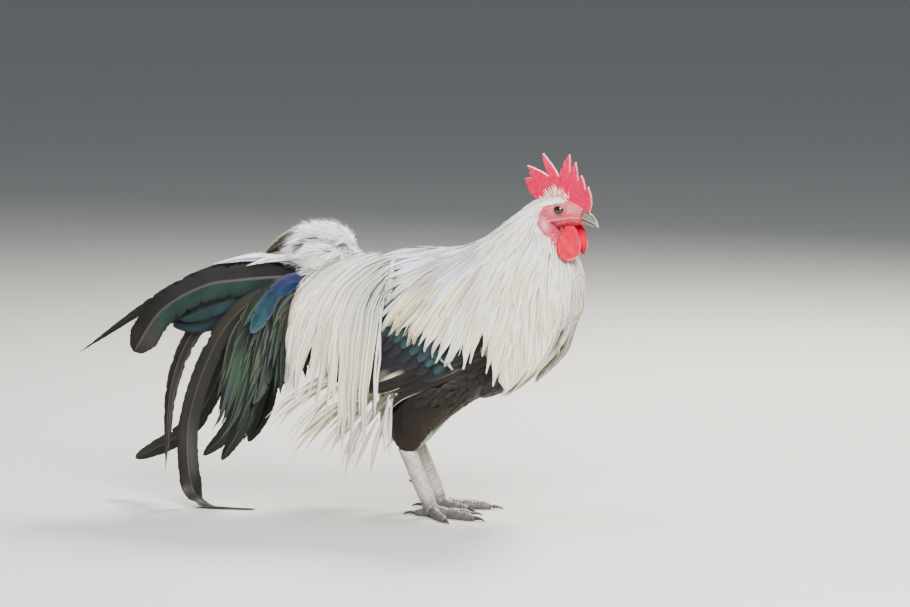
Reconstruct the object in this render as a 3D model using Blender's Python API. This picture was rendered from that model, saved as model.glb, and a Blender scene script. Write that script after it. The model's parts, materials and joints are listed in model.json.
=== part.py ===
"""A standing rooster of a long-tailed silver duckwing breed, at life size.

Metres, +Z up. The bird faces +X and its left side is +Y. Tables are in millimetres, measured from the
stance point: on the floor, midway between the two ankles. At the end every piece is moved so that the
origin is at the middle of the underside of the whole bird's box.

Each flesh part is a loft of sections. Where two parts meet, the one drawn later is cut by a copy of the
earlier one grown by a thin gap, so that they touch face to face and never overlap.
"""

import math

import bmesh
import bpy
import numpy as np

MM = 0.001
GAP = 0.4  # left between touching pieces
WELD = 0.004  # corners nearer than this after a cut are made one
FLAT_WITHIN = 1.4  # degrees between cut faces that are made one
SHARP_FROM = 50  # degrees between faces that show as an edge
RING = 16  # corners round a body section
SIDES = (("right", -1.0), ("left", 1.0))

HEAD_TURN = math.radians(-7.0)  # the head looks a little to its right
HEAD_PIVOT = (100.0, 0.0)

# Trunk: x, height of back, height of belly, half width.
TRUNK = (
    (-128, 285, 256, 20),
    (-106, 288, 226, 40),
    (-70, 289, 186, 55),
    (-30, 289, 155, 62),
    (12, 289, 134, 66),
    (48, 290, 131, 66),
    (86, 286, 142, 62),
    (116, 274, 164, 52),
    (138, 255, 190, 37),
    (152, 238, 212, 16),
)
# Head: x, height of middle, half height, half width.
HEAD = (
    (92, 327, 14, 13),
    (100, 332.5, 15.5, 16.5),
    (112, 339.5, 17, 18.8),
    (126, 342.5, 17, 19),
    (140, 343, 16, 17.5),
    (150, 342.5, 14.5, 15),
    (159, 341.5, 12, 12),
    (167.5, 340, 9, 8.5),
)
EYE = (145, 16.5, 347.5)
EYE_RADIUS = 7.2
EYE_DEPTH = 4.0  # from the eye's middle to the face, so that its clear front stands out of the head

# Neck with its hackle: back point x, z, front point x, z, half width, how far the sides hang.
NECK = (
    (115, 357, 136, 328, 17, 0),
    (101, 348, 147, 313, 26, 2),
    (83, 334.5, 157, 297, 36, 6),
    (58, 316.5, 162, 272, 50, 16),
)
CAPE = (
    (58, 316.5, 162, 272, 50, 16),
    (26, 301, 160.5, 243, 66, 32),
    (-12, 297, 154, 214, 76, 52),
    (-44, 294, 139, 186, 81, 72),
)
CAPE_SQUARENESS = 3.6

# Folded wing: x, height of middle, half height, distance of its middle from the midplane, half thickness.
WING = (
    (104, 220, 10, 52, 6),
    (92, 215, 25, 53, 9.5),
    (64, 209, 36, 57, 12),
    (26, 200, 41, 58, 12),
    (-12, 190, 42, 57.5, 12),
    (-52, 178, 38, 55, 10.5),
    (-92, 168, 27, 50, 8),
    (-126, 160, 12, 44, 4),
)
# Feathered thigh, from the hock up: x, height, half depth fore and aft, half width, distance from midplane.
THIGH = (
    (-27, 74, 9, 8.5, 31),
    (-27, 81, 16, 13, 31),
    (-25, 91, 23, 18, 32),
    (-21, 102, 28, 22, 33.5),
    (-11, 117, 36, 27, 36),
    (2, 131, 44, 31, 39),
    (12, 150, 50, 33, 41),
    (18, 176, 50, 30, 42),
    (22, 198, 38, 22, 40),
)
HOCK = (-36, 31, 92)
ANKLE = (-2, 31, 10)
LEFT_LEG_BACK = 7  # how far the left leg stands behind the right
# Shank: share of the way from hock to ankle, half depth fore and aft, half width.
SHANK = (
    (0.0, 9.5, 8.5),
    (0.12, 9.6, 8.6),
    (0.3, 7.6, 6.6),
    (0.6, 7.2, 6.2),
    (0.88, 7.8, 7.0),
    (1.0, 7.0, 6.8),
)
SPUR_PLACE = 0.66  # share of the way down the shank
SPUR_LENGTH = 11
SPUR_RADIUS = 3.4

# Toes: name, length without the claw, radius at the root, radius at the tip, angle from straight ahead
# on the right foot and on the left foot (outwards is positive).
TOES = (
    ("inner", 44, 6.0, 4.2, -20, -28),
    ("middle", 60, 6.6, 4.3, 20, 5),
    ("outer", 48, 6.0, 4.0, 56, 38),
    ("hind", 20, 5.0, 4.0, 188, 176),
)
ANKLE_RADIUS = 8.4
PAD_COUNT = 3  # swellings along a front toe
TOE_DROP = 0.45  # share of a toe over which it comes down to the floor
PAD_SWELL = 0.07  # how much thicker a toe is at a pad
SOLE_CUT = 0.82  # height of a toe's middle against its radius; the rest is cut off flat underneath
CLAW_LENGTH = 13

# Saddle sheet: x at the back, height at the back, x at the hem, height of the hem.
SADDLE = (
    (-44, 295, -38, 125),
    (-58, 295, -52, 92),
    (-80, 294.5, -80, 72),
    (-102, 293, -108, 70),
    (-124, 288, -134, 78),
    (-142, 279, -160, 92),
    (-154, 270, -184, 114),
)
# How the sheet falls: share of the drop from back to hem, distance from the midplane.
SADDLE_FALL = (
    (0.0, 0.3), (0.015, 24), (0.08, 48), (0.2, 65), (0.38, 75), (0.6, 79), (0.8, 79), (1.0, 76),
)
SADDLE_THICKNESS = 9.0

TAIL_BASE = ((-130, 0, 258), (34, 42, 26))
RUMP_TUFT = ((-137, 0, 296), (39, 32, 29))

# The bill's two halves: x, top, bottom, half width.
BILL_UPPER = (
    (152, 345, 338, 6.5),
    (160, 347.5, 337.4, 6.8),
    (168, 347, 336.2, 6.2),
    (174.7, 344, 333.6, 5.2),
    (179.5, 340.6, 331.6, 3.8),
    (183.7, 334.8, 329.0, 2.2),
    (185.6, 329.4, 327.2, 0.9),
)
BILL_LOWER = (
    (154, 337.4, 330, 6),
    (162, 336.8, 331, 5.4),
    (169, 335.6, 331, 4.4),
    (176, 332.6, 329.6, 3),
    (181, 330.2, 328.4, 1.4),
)

# Comb, as seen from the side: tips from back to front, the notch in front of each, and its lower line.
COMB_TIPS = (
    (98.5, 379.5), (104, 387), (101.6, 394.5), (119.7, 408.5),
    (151.2, 408), (158.4, 399.5), (165.2, 385), (173.1, 372.5),
)
COMB_NOTCHES = (
    (109.4, 380.5), (111.2, 384.2), (128.3, 382.5), (139.5, 382),
    (150.5, 378.5), (160.9, 373.5), (169.8, 367.5),
)
COMB_LOWER = (
    (176.5, 362), (177, 353), (174.7, 343.5), (166, 344), (156, 349), (144, 352),
    (130, 353), (112, 358), (104, 367), (101.5, 374),
)
COMB_HALF_THICKNESS = 2.4
# Hanging lenses of the right side: middle as x, distance from midplane, height; half length, half depth,
# half thickness, how far the lower end leans forward of the upper.
WATTLE = ((155, 11.5, 309.5), 21, 14, 3.6, -1.0)
EARLOBE = ((130.5, 18, 328.5), 11, 7, 4.0, 4.0)

# Tail feathers: name, distance from the midplane at the root and how much it gains by the tip, width, how
# blunt the tip is, and the shaft's line as x, height from the root. These are the right side's.
TAIL_RIGHT = (
    ("hanging_feather", 3.2, 2, 18, 0.15,
     ((-146, 254), (-218, 240), (-266, 218), (-297, 188), (-319, 127), (-325, 36))),
    ("tail_feather_2", 7, 4, 24, 0.5,
     ((-148, 260), (-222, 232), (-273, 210), (-313, 205))),
    ("tail_feather_1", 10.5, 6, 24, 0.6,
     ((-148, 265), (-207, 248), (-258, 230), (-302, 213))),
    ("upper_sickle", 14, 12, 39, 0.86,
     ((-148, 267), (-226, 260), (-274, 251), (-323, 222), (-355, 175))),
    ("main_sickle", 21.5, 15, 26, 0.55,
     ((-148, 272), (-226, 227), (-265, 171), (-289, 94), (-284, 24), (-256, 1), (-206, 1))),
    ("covert_1", 25, 10, 20, 0.3,
     ((-142, 265), (-190, 243), (-217, 154), (-236, 96), (-269, 60))),
    ("covert_2", 28.5, 11, 19, 0.3,
     ((-140, 262), (-182, 241), (-206, 156), (-220, 103), (-246, 56))),
    ("covert_3", 32, 12, 33, 0.6,
     ((-137, 258), (-172, 243), (-190, 190), (-207, 122))),
    ("covert_4", 35.5, 13, 28, 0.6,
     ((-133, 255), (-163, 240), (-173, 190), (-173, 135))),
    ("blue_covert", 39.5, 6, 21, 0.75,
     ((-132, 260), (-170, 270), (-190, 249), (-208, 215))),
)
# Those of the left side that aren't twins of the right side's, and one on the midplane.
TAIL_LEFT = (
    ("upper_sickle", 14, 12, 22, 0.1,
     ((-148, 273), (-215, 279), (-279, 263), (-342, 231), (-441, 165))),
    ("tail_feather_3", 17.8, 10, 30, 0.7,
     ((-148, 270), (-206, 266), (-268, 252), (-336, 205))),
    ("main_sickle", 21.5, 14, 24, 0.65,
     ((-148, 272), (-204, 247), (-249, 187), (-284, 116), (-316, 76), (-376, 43))),
)
TOP_COVERT = ("top_covert", 0, 0, 22, 0.3, ((-128, 315), (-162, 315), (-209, 287)))
LEFT_TWIN_LENGTH = 0.95  # length of a left twin against the right side's
SHAFT_HALF_THICKNESS = 0.9
EDGE_HALF_THICKNESS = 0.32
STATION_STEP = 24  # distance between a tail feather's rings
LYING_SICKLE = ("main_sickle", -1.0)  # the one that reaches the floor and lies along it
LYING_FROM, LYING_BY = 0.62, 0.86  # shares of its length between which it turns from upright to flat

COLOURS = {
    "white_feather": ("#E9E6DC", 0.6),
    "black_feather": ("#2A2724", 0.55),
    "green_feather": ("#26332F", 0.4),
    "face_skin": ("#D9606C", 0.55),
    "comb_skin": ("#E22B45", 0.45),
    "eye": ("#3A1E14", 0.08),
    "bill_horn": ("#8F8577", 0.35),
    "leg_scale": ("#B9B1AC", 0.5),
    "claw_horn": ("#A79F94", 0.35),
}


def material(name):
    """The Principled material of that name, made once."""
    found = bpy.data.materials.get(name)
    if found:
        return found
    code, roughness = COLOURS[name]
    linear = [int(code[i : i + 2], 16) / 255 for i in (1, 3, 5)]
    linear = [c / 12.92 if c <= 0.04045 else ((c + 0.055) / 1.055) ** 2.4 for c in linear]
    made = bpy.data.materials.new(name)
    made.use_nodes = True
    shader = made.node_tree.nodes["Principled BSDF"]
    shader.inputs["Base Color"].default_value = (*linear, 1.0)
    shader.inputs["Roughness"].default_value = roughness
    shader.inputs["Metallic"].default_value = 0.0
    made.diffuse_color = (*linear, 1.0)
    return made


def smooth_rows(rows, count):
    """count rows read evenly from a smooth curve through the given rows."""
    table = np.array(rows, float)
    padded = np.vstack([2 * table[0] - table[1], table, 2 * table[-1] - table[-2]])
    place = np.linspace(0, len(table) - 1, count)
    i = np.minimum(place.astype(int), len(table) - 2)
    t = (place - i)[:, None]
    a, b, c, d = (padded[i + k] for k in range(4))
    return 0.5 * (2 * b + (c - a) * t + (2 * a - 5 * b + 4 * c - d) * t**2 + (3 * b - a - 3 * c + d) * t**3)


def new_object(name, bm, finish):
    """A shown part from a bmesh in millimetres."""
    bmesh.ops.recalc_face_normals(bm, faces=bm.faces)
    bmesh.ops.triangulate(bm, faces=[f for f in bm.faces if len(f.verts) == 4])
    bmesh.ops.scale(bm, vec=(MM, MM, MM), verts=bm.verts)
    mesh = bpy.data.meshes.new(name)
    bm.to_mesh(mesh)
    bm.free()
    obj = bpy.data.objects.new(name, mesh)
    bpy.context.scene.collection.objects.link(obj)
    mesh.materials.append(material(finish))
    mesh.shade_smooth()
    mesh.set_sharp_from_angle(angle=math.radians(SHARP_FROM))
    return obj


def loft(name, rings, finish):
    """A closed solid through rings of equal corner counts, each end closed by a fan to its middle."""
    bm = bmesh.new()
    rows = [[bm.verts.new(p) for p in ring] for ring in rings]
    corners = len(rows[0])
    for near, far in zip(rows, rows[1:]):
        for k in range(corners):
            m = (k + 1) % corners
            bm.faces.new((near[k], near[m], far[m], far[k]))
    for row, ring in ((rows[0], rings[0]), (rows[-1], rings[-1])):
        middle = bm.verts.new(np.mean(ring, axis=0))
        for k in range(corners):
            bm.faces.new((row[k], row[(k + 1) % corners], middle))
    return new_object(name, bm, finish)


def round_pairs(squareness=2.0, corners=RING):
    """Cosine-like and sine-like pairs round a superellipse, starting at its top."""
    angles = np.arange(corners) * 2 * math.pi / corners
    c, s = np.cos(angles), np.sin(angles)
    power = 2 / squareness
    return np.sign(c) * np.abs(c) ** power, np.sign(s) * np.abs(s) ** power


def grow(obj):
    """Leaves a hidden copy of the part, larger all round by the gap, for later parts to be cut by."""
    bm = bmesh.new()
    bm.from_mesh(obj.data)
    for vert, way in [(v, v.normal.copy()) for v in bm.verts]:
        vert.co += way * GAP * MM
    mesh = bpy.data.meshes.new("grown_" + obj.name)
    bm.to_mesh(mesh)
    bm.free()
    grown = bpy.data.objects.new("grown_" + obj.name, mesh)
    bpy.context.scene.collection.objects.link(grown)
    grown.hide_render = True
    grown.display_type = "WIRE"
    return obj


def carve(obj, *names):
    """Cuts the part by the grown copy of each part named, in turn, and keeps the largest piece left."""
    for name in names:
        combine(obj, bpy.data.objects["grown_" + name], "DIFFERENCE")
    bm = bmesh.new()
    bm.from_mesh(obj.data)
    left, pieces = set(bm.verts), []
    while left:
        piece, edge = set(), {left.pop()}
        while edge:
            piece |= edge
            edge = {e.other_vert(v) for v in edge for e in v.link_edges} - piece
        left -= piece
        pieces.append(piece)
    pieces.sort(key=len)
    bmesh.ops.delete(bm, geom=[v for piece in pieces[:-1] for v in piece], context="VERTS")
    bmesh.ops.dissolve_limit(bm, angle_limit=math.radians(FLAT_WITHIN), verts=bm.verts, edges=bm.edges)
    bmesh.ops.triangulate(bm, faces=bm.faces)
    bm.to_mesh(obj.data)
    bm.free()
    return obj


def combine(obj, other, operation):
    """Gives the object the shape of one Boolean operation with another object."""
    step = obj.modifiers.new("step", "BOOLEAN")
    step.operation = operation
    step.solver = "EXACT"
    step.object = other
    bpy.context.view_layer.update()
    graph = bpy.context.evaluated_depsgraph_get()
    obj.data = bpy.data.meshes.new_from_object(obj.evaluated_get(graph))
    obj.modifiers.clear()
    bm = bmesh.new()
    bm.from_mesh(obj.data)
    bmesh.ops.remove_doubles(bm, verts=bm.verts, dist=WELD * MM)
    bmesh.ops.dissolve_degenerate(bm, edges=bm.edges, dist=WELD * MM)
    bmesh.ops.triangulate(bm, faces=bm.faces)
    bm.to_mesh(obj.data)
    bm.free()


# Trunk, head and neck


def upright_rings(table, count, squareness=2.0, side=0.0, corners=RING):
    """Rings across X for rows of x, middle height, half height, distance from midplane, half width."""
    up, out = round_pairs(squareness, corners)
    rings = []
    for x, middle, tall, away, wide in smooth_rows(table, count):
        rings.append(np.column_stack([np.full(corners, x), side * away + wide * out, middle + tall * up]))
    return rings


def turned_head(rings):
    """Points of the head's pieces, turned about the upright line at HEAD_PIVOT."""
    c, s = math.cos(HEAD_TURN), math.sin(HEAD_TURN)
    px, py = HEAD_PIVOT
    moved = []
    for ring in rings:
        p = np.array(ring, float)
        x = p[:, 0] - px
        y = p[:, 1] - py
        moved.append(np.column_stack([px + c * x - s * y, py + s * x + c * y, p[:, 2]]))
    return moved


def hackle_rings(table, count):
    """Rings from back to front across the neck, whose sides hang lower than the line between the two."""
    forward, out = round_pairs(CAPE_SQUARENESS)
    rings = []
    for bx, bz, fx, fz, wide, hang in smooth_rows(table, count):
        middle = np.array([(bx + fx) / 2, (bz + fz) / 2])
        line = middle + np.outer(forward, ((fx - bx) / 2, (fz - bz) / 2))
        share = np.abs(out) ** 1.6
        rings.append(np.column_stack([line[:, 0], wide * out, line[:, 1] - hang * share]))
    return rings


def ball_rings(centre, radii, count=9, corners=14):
    """Rings of an ellipsoid along X, short of its two poles, which the end fans close."""
    cx, cy, cz = centre
    rx, ry, rz = radii
    rings = []
    for angle in np.linspace(0.22, math.pi - 0.22, count):
        up, out = round_pairs(2.0, corners)
        r = math.sin(angle)
        x = np.full(corners, cx - rx * math.cos(angle))
        rings.append(np.column_stack([x, cy + ry * r * out, cz + rz * r * up]))
    return rings


def make_trunk():
    table = [(x, (top + low) / 2, (top - low) / 2, 0, wide) for x, top, low, wide in TRUNK]
    grow(loft("trunk", upright_rings(table, 13, 2.15), "black_feather"))
    tail_base = grow(loft("tail_base", ball_rings(*TAIL_BASE), "black_feather"))
    carve(tail_base, "trunk")
    rump_tuft = grow(loft("rump_tuft", ball_rings(*RUMP_TUFT), "white_feather"))
    carve(rump_tuft, "trunk", "tail_base")


def make_neck():
    """The neck's feathers, cut by the head, and the hackle cape, cut by the body it lies over."""
    rings = hackle_rings(NECK, 6)
    for ring in rings:
        ring[:, 2] += GAP
    carve(
        loft("neck", rings, "white_feather"),
        "head", "trunk", "wattle_right", "wattle_left", "earlobe_right", "earlobe_left",
    )
    cape = grow(loft("hackle_cape", hackle_rings(CAPE, 7), "white_feather"))
    carve(cape, "trunk", "wing_right", "wing_left", "thigh_right", "thigh_left")


# Head pieces


def disc_rings(row, side, count=7, corners=10):
    """A hanging lens: rings from its top to its bottom, fullest below the middle, leaning forward by lean."""
    (cx, away, cz), half_length, half_depth, half_thickness, lean = row
    cy = side * away
    ahead, out = round_pairs(2.0, corners)
    rings = []
    for angle in np.linspace(0.3, math.pi - 0.2, count):
        down = -math.cos(angle)
        full = math.sin(angle) ** 0.8 * (1 + 0.16 * down)
        x = cx + lean * down + half_depth * full * ahead
        z = np.full(corners, cz - half_length * down)
        rings.append(np.column_stack([x, cy + half_thickness * full * out, z]))
    return turned_head(rings)


def bill_rings(rows, corners=12):
    """A horn sheath along X: rows of x, top, bottom, half width."""
    up, out = round_pairs(2.0, corners)
    rings = []
    for x, top, low, wide in smooth_rows(rows, 7):
        rings.append(
            np.column_stack([np.full(corners, x), wide * out, (top + low) / 2 + (top - low) / 2 * up])
        )
    return turned_head(rings)


def comb_outline():
    """The comb's closed side outline; its points lean back, full behind and hollow in front."""
    outline = [COMB_TIPS[0]]
    for tip, notch, after in zip(COMB_TIPS, COMB_NOTCHES, COMB_TIPS[1:]):
        tip, root, after = (np.array(p, float) for p in (tip, notch, after))
        down, up = root - tip, after - root
        aside = np.array([up[1], -up[0]]) * 0.05
        outline += [tip + down * 0.3 + (0.5, 0.4), tip + down * 0.65 + (0.7, 0.5), root]
        outline += [root + up * 0.35 - aside, root + up * 0.7 - aside, after]
    return [tuple(p) for p in outline] + list(COMB_LOWER)


def make_comb():
    """A plate with the comb's outline, its edge drawn thin and its middle thick."""
    bm = bmesh.new()
    places = turned_head([np.array([(x, 0.0, z) for x, z in comb_outline()])])[0]
    face = bm.faces.new([bm.verts.new(p) for p in places])
    face.normal_update()
    side = face.normal.copy()
    back = bmesh.ops.extrude_face_region(bm, geom=[face])
    made = [v for v in back["geom"] if isinstance(v, bmesh.types.BMVert)]
    bmesh.ops.translate(bm, vec=side * 2 * COMB_HALF_THICKNESS, verts=made)
    bmesh.ops.translate(bm, vec=-side * COMB_HALF_THICKNESS, verts=bm.verts)
    comb = new_object("comb", bm, "comb_skin")
    edge = comb.modifiers.new("rounded_edge", "BEVEL")
    edge.width = 0.9 * MM
    edge.segments = 1
    edge.limit_method = "ANGLE"
    edge.angle_limit = math.radians(60)
    carve(comb, "head", "bill_upper")


def make_head():
    table = [(x, middle, tall, 0, wide) for x, middle, tall, wide in HEAD]
    head = grow(loft("head", turned_head(upright_rings(table, 10, 2.1, corners=16)), "face_skin"))
    bill = grow(loft("bill_upper", bill_rings(BILL_UPPER), "bill_horn"))
    carve(bill, "head")
    jaw = grow(loft("bill_lower", bill_rings(BILL_LOWER), "bill_horn"))
    carve(jaw, "head", "bill_upper")
    for side_name, side in SIDES:
        x, away, z = EYE
        centre = turned_head([np.array([(x, side * (away - EYE_DEPTH), z)])])[0][0]
        eye = ball_rings(centre, (EYE_RADIUS,) * 3, count=7, corners=12)
        grow(loft("eye_" + side_name, eye, "eye"))
        carve(head, "eye_" + side_name)
        wattle = loft("wattle_" + side_name, disc_rings(WATTLE, side), "comb_skin")
        carve(grow(wattle), "head", "bill_lower")
        earlobe = loft("earlobe_" + side_name, disc_rings(EARLOBE, side), "face_skin")
        carve(grow(earlobe), "head")
    make_comb()


# Wings, saddle, legs


def leg_lag(side):
    """How far back a leg stands."""
    return LEFT_LEG_BACK if side > 0 else 0


def thigh_rings(side):
    """Level rings up the thigh."""
    ahead, out = round_pairs(2.1, 14)
    rings = []
    for x, z, deep, wide, away in smooth_rows(THIGH, 9):
        lag = leg_lag(side) * min(max((160 - z) / 60, 0), 1)
        rings.append(np.column_stack([x - lag + deep * ahead, side * away + wide * out, np.full(14, z)]))
    return rings


def make_wing_and_thigh(side_name, side):
    wing = loft("wing_" + side_name, upright_rings(WING, 9, 2.2, side, 12), "black_feather")
    carve(grow(wing), "trunk")
    thigh = loft("thigh_" + side_name, thigh_rings(side), "black_feather")
    carve(grow(thigh), "trunk", "wing_" + side_name)


def make_saddle(side_name, side):
    """A thick sheet that falls from the back over the flank, as a grid outside and a grid inside it."""
    fall = smooth_rows(SADDLE_FALL, 9)
    fall[0] = SADDLE_FALL[0]
    outside, inside = [], []
    for back_x, back_z, hem_x, hem_z in smooth_rows(SADDLE, 7):
        drop = fall[:, 0]
        y, z = fall[:, 1], back_z + (hem_z - back_z) * drop
        x = back_x + (hem_x - back_x) * drop**2
        down, outward = np.gradient(z), np.gradient(y)
        size = np.hypot(down, outward)
        inner_y = np.maximum(y + SADDLE_THICKNESS * down / size, GAP)
        inner_z = z - SADDLE_THICKNESS * outward / size
        outside.append(np.column_stack([x, side * y, z]))
        inside.append(np.column_stack([x, side * inner_y, inner_z]))
    bm = bmesh.new()
    outer = [[bm.verts.new(p) for p in line] for line in outside]
    inner = [[bm.verts.new(p) for p in line] for line in inside]
    for grid in (outer, inner, [outer[0], inner[0]], [outer[-1], inner[-1]]):
        for near, far in zip(grid, grid[1:]):
            for k in range(len(near) - 1):
                bm.faces.new((near[k], near[k + 1], far[k + 1], far[k]))
    for end in (0, -1):
        for k in range(len(outer) - 1):
            bm.faces.new((outer[k][end], outer[k + 1][end], inner[k + 1][end], inner[k][end]))
    sheet = grow(new_object("saddle_" + side_name, bm, "white_feather"))
    carve(sheet, "trunk", "tail_base", "rump_tuft", "hackle_cape", "wing_" + side_name, "thigh_" + side_name)


def shank_ends(side):
    """Middles of the hock and of the ankle."""
    lag = leg_lag(side)
    return (np.array([x - lag, side * y, z], float) for x, y, z in (HOCK, ANKLE))


def shank_rings(side):
    """Rings square to the shank, a little deeper fore and aft than wide."""
    top, foot = shank_ends(side)
    way = (foot - top) / np.linalg.norm(foot - top)
    fore = np.array([-way[2], 0.0, way[0]])
    ahead, out = round_pairs(2.0, 12)
    rings = []
    for share, deep, wide in smooth_rows(SHANK, 8):
        middle = top + (foot - top) * share
        rings.append(middle + np.outer(ahead * deep, fore) + np.outer(out * wide, (0, 1, 0)))
    return rings


def tube_rings(points, radii, corners=14):
    """Round rings along a line of points."""
    points = np.array(points, float)
    ways = np.gradient(points, axis=0)
    rings = []
    for point, way, radius in zip(points, ways, radii):
        way = way / np.linalg.norm(way)
        across = np.cross((0, 0, 1), way)
        across /= np.linalg.norm(across)
        up = np.cross(way, across)
        a, b = round_pairs(2.0, corners)
        rings.append(point + np.outer(a * radius, up) + np.outer(b * radius, across))
    return rings


def toe_line(start, heading, length, count):
    """Points of a toe that drops from the ankle's ball to the floor and runs out along it."""
    shares = np.linspace(0, 1, count)
    way = np.array([math.cos(heading), math.sin(heading)])
    return [(*(start[:2] + way * length * s), start[2] * max(1 - s / TOE_DROP, 0) ** 2) for s in shares], way


def flat_sole(obj):
    """Cuts off what lies under the floor and closes the cut with flat faces."""
    bm = bmesh.new()
    bm.from_mesh(obj.data)
    whole = [*bm.verts, *bm.edges, *bm.faces]
    bmesh.ops.bisect_plane(bm, geom=whole, plane_co=(0, 0, 0), plane_no=(0, 0, 1), clear_inner=True)
    edges = [e for e in bm.edges if e.is_boundary]
    for v in {v for e in edges for v in e.verts}:
        v.co.z = 0.0
    bmesh.ops.holes_fill(bm, edges=edges)
    bmesh.ops.recalc_face_normals(bm, faces=bm.faces)
    bm.to_mesh(obj.data)
    bm.free()


def make_foot(side_name, side, column):
    """Ball of the foot with four padded toes, flat underneath, and a claw on each toe."""
    ankle = np.array([ANKLE[0] - leg_lag(side), side * ANKLE[1], ANKLE[2] - 2.2])
    ball = ball_rings(ankle, (ANKLE_RADIUS + 1, ANKLE_RADIUS, ANKLE_RADIUS), count=7, corners=12)
    foot = loft("foot_" + side_name, ball, "leg_scale")
    claws = []
    for toe in TOES:
        name, length, thick, thin = toe[:4]
        heading = side * math.radians(toe[column])
        count = 8 if name != "hind" else 4
        line, way = toe_line(ankle, heading, length, count)
        shares = np.linspace(0, 1, count)
        radii = thick + (thin - thick) * shares
        radii = radii * (1 + PAD_SWELL * np.cos(2 * math.pi * (PAD_COUNT + 0.5) * shares))
        points = [(x, y, z * 0.6 + r * SOLE_CUT) for (x, y, z), r in zip(line, radii)]
        radii[-1] *= 0.7
        bone = loft("toe", tube_rings(points, radii, 7), "leg_scale")
        combine(foot, bone, "UNION")
        bpy.data.objects.remove(bone)
        claws.append((name, points[-1], way, radii[-1]))
    flat_sole(foot)
    carve(foot, "shank_" + side_name)
    for name, tip, way, radius in claws:
        make_claw(f"claw_{name}_{side_name}", tip, way, radius)


def make_claw(name, tip, way, radius):
    """A horn cone that starts at the toe's end and curves down to the floor."""
    points, radii = [], []
    for share in np.linspace(0, 1, 5):
        out = 2 * GAP + CLAW_LENGTH * share
        x, y = tip[0] + way[0] * out, tip[1] + way[1] * out
        r = 0.5 + (radius * 0.86 - 0.5) * (1 - share) ** 0.8
        points.append((x, y, max(tip[2] + 0.9 * math.sin(share * 2.6) - 2.6 * share**2, r + 0.15)))
        radii.append(r)
    loft(name, tube_rings(points, radii, 6), "claw_horn")


def make_leg(side_name, side, column):
    shank = grow(loft("shank_" + side_name, shank_rings(side), "leg_scale"))
    carve(shank, "thigh_" + side_name)
    make_foot(side_name, side, column)
    top, foot = shank_ends(side)
    root = top + (foot - top) * SPUR_PLACE
    points, radii = [], []
    for share in np.linspace(0, 1, 5):
        back, inward = -5.0 - SPUR_LENGTH * share, -side * (3.0 + 3.0 * share)
        points.append(root + np.array([back, inward, 1.6 * share**2]))
        radii.append(0.5 + (SPUR_RADIUS - 0.5) * (1 - share) ** 0.7)
    spur = loft("spur_" + side_name, tube_rings(points, radii, 6), "claw_horn")
    carve(spur, "shank_" + side_name)


# Tail


def blade_rings(row, side):
    """A feather blade: rings of six corners along the shaft, thick at the shaft and thin at the edges."""
    name, away, gain, width, blunt, line = row
    dense = smooth_rows(line, 200)
    steps = np.concatenate([[0], np.cumsum(np.linalg.norm(np.diff(dense, axis=0), axis=1))])
    share = np.linspace(0, 1, max(7, round(steps[-1] / STATION_STEP)))
    x = np.interp(share * steps[-1], steps, dense[:, 0])
    z = np.interp(share * steps[-1], steps, dense[:, 1])
    y = side * (away + gain * share**1.5)
    points = np.column_stack([x, y, z])
    ways = np.gradient(points, axis=0)
    ways /= np.linalg.norm(ways, axis=1)[:, None]
    rings = []
    for point, way, at in zip(points, ways, share):
        half = width / 2 * blade_profile(at, blunt)
        broad = np.cross(way, (0, 1, 0))
        broad /= np.linalg.norm(broad)
        thick = np.cross(broad, way)
        if (name, side) == LYING_SICKLE:
            turn = math.pi / 2 * np.clip((at - LYING_FROM) / (LYING_BY - LYING_FROM), 0, 1)
            c, s = math.cos(turn), math.sin(turn)
            broad, thick = broad * c + thick * s, thick * c - broad * s
        section = (
            (0, SHAFT_HALF_THICKNESS), (half, EDGE_HALF_THICKNESS), (half, -EDGE_HALF_THICKNESS),
            (0, -SHAFT_HALF_THICKNESS), (-half, -EDGE_HALF_THICKNESS), (-half, EDGE_HALF_THICKNESS),
        )
        ring = np.array([point + broad * w + thick * t for w, t in section])
        ring[:, 2] = np.maximum(ring[:, 2], 0.0)
        rings.append(ring)
    return rings


def blade_profile(share, blunt):
    """Width of a vane along its shaft, from 0 to 1: narrow quill, full middle, pointed or round tip."""
    quill = 0.22 + 0.78 * min(share / 0.22, 1.0) ** 0.8
    taper_from = 0.45 + 0.5 * blunt
    if share <= taper_from:
        return quill
    left = (share - taper_from) / (1 - taper_from)
    return quill * max(math.sqrt(max(1 - left**2, 0.0)) if blunt > 0.4 else 1 - left**1.3, 0.08)


def left_twin(row):
    """The same feather for the left side, drawn in towards its root."""
    line = np.array(row[-1], float)
    line = line[0] + (line - line[0]) * LEFT_TWIN_LENGTH
    return (*row[:-1], line)


def make_blade(row, side_name, side):
    """One tail feather, cut to start at the surface of what it grows from."""
    finish = "green_feather" if "covert" in row[0] else "black_feather"
    name = f"{row[0]}_{side_name}" if side_name else row[0]
    blade = loft(name, blade_rings(row, side), finish)
    carve(blade, "tail_base", "rump_tuft", "saddle_left" if side > 0 else "saddle_right")


def make_tail():
    for row in TAIL_RIGHT:
        make_blade(row, "right", -1.0)
    own = {row[0] for row in TAIL_LEFT}
    twins = [left_twin(row) for row in TAIL_RIGHT if row[0] not in own]
    for row in (*TAIL_LEFT, *twins):
        make_blade(row, "left", 1.0)
    make_blade(TOP_COVERT, "", 1.0)


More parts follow.
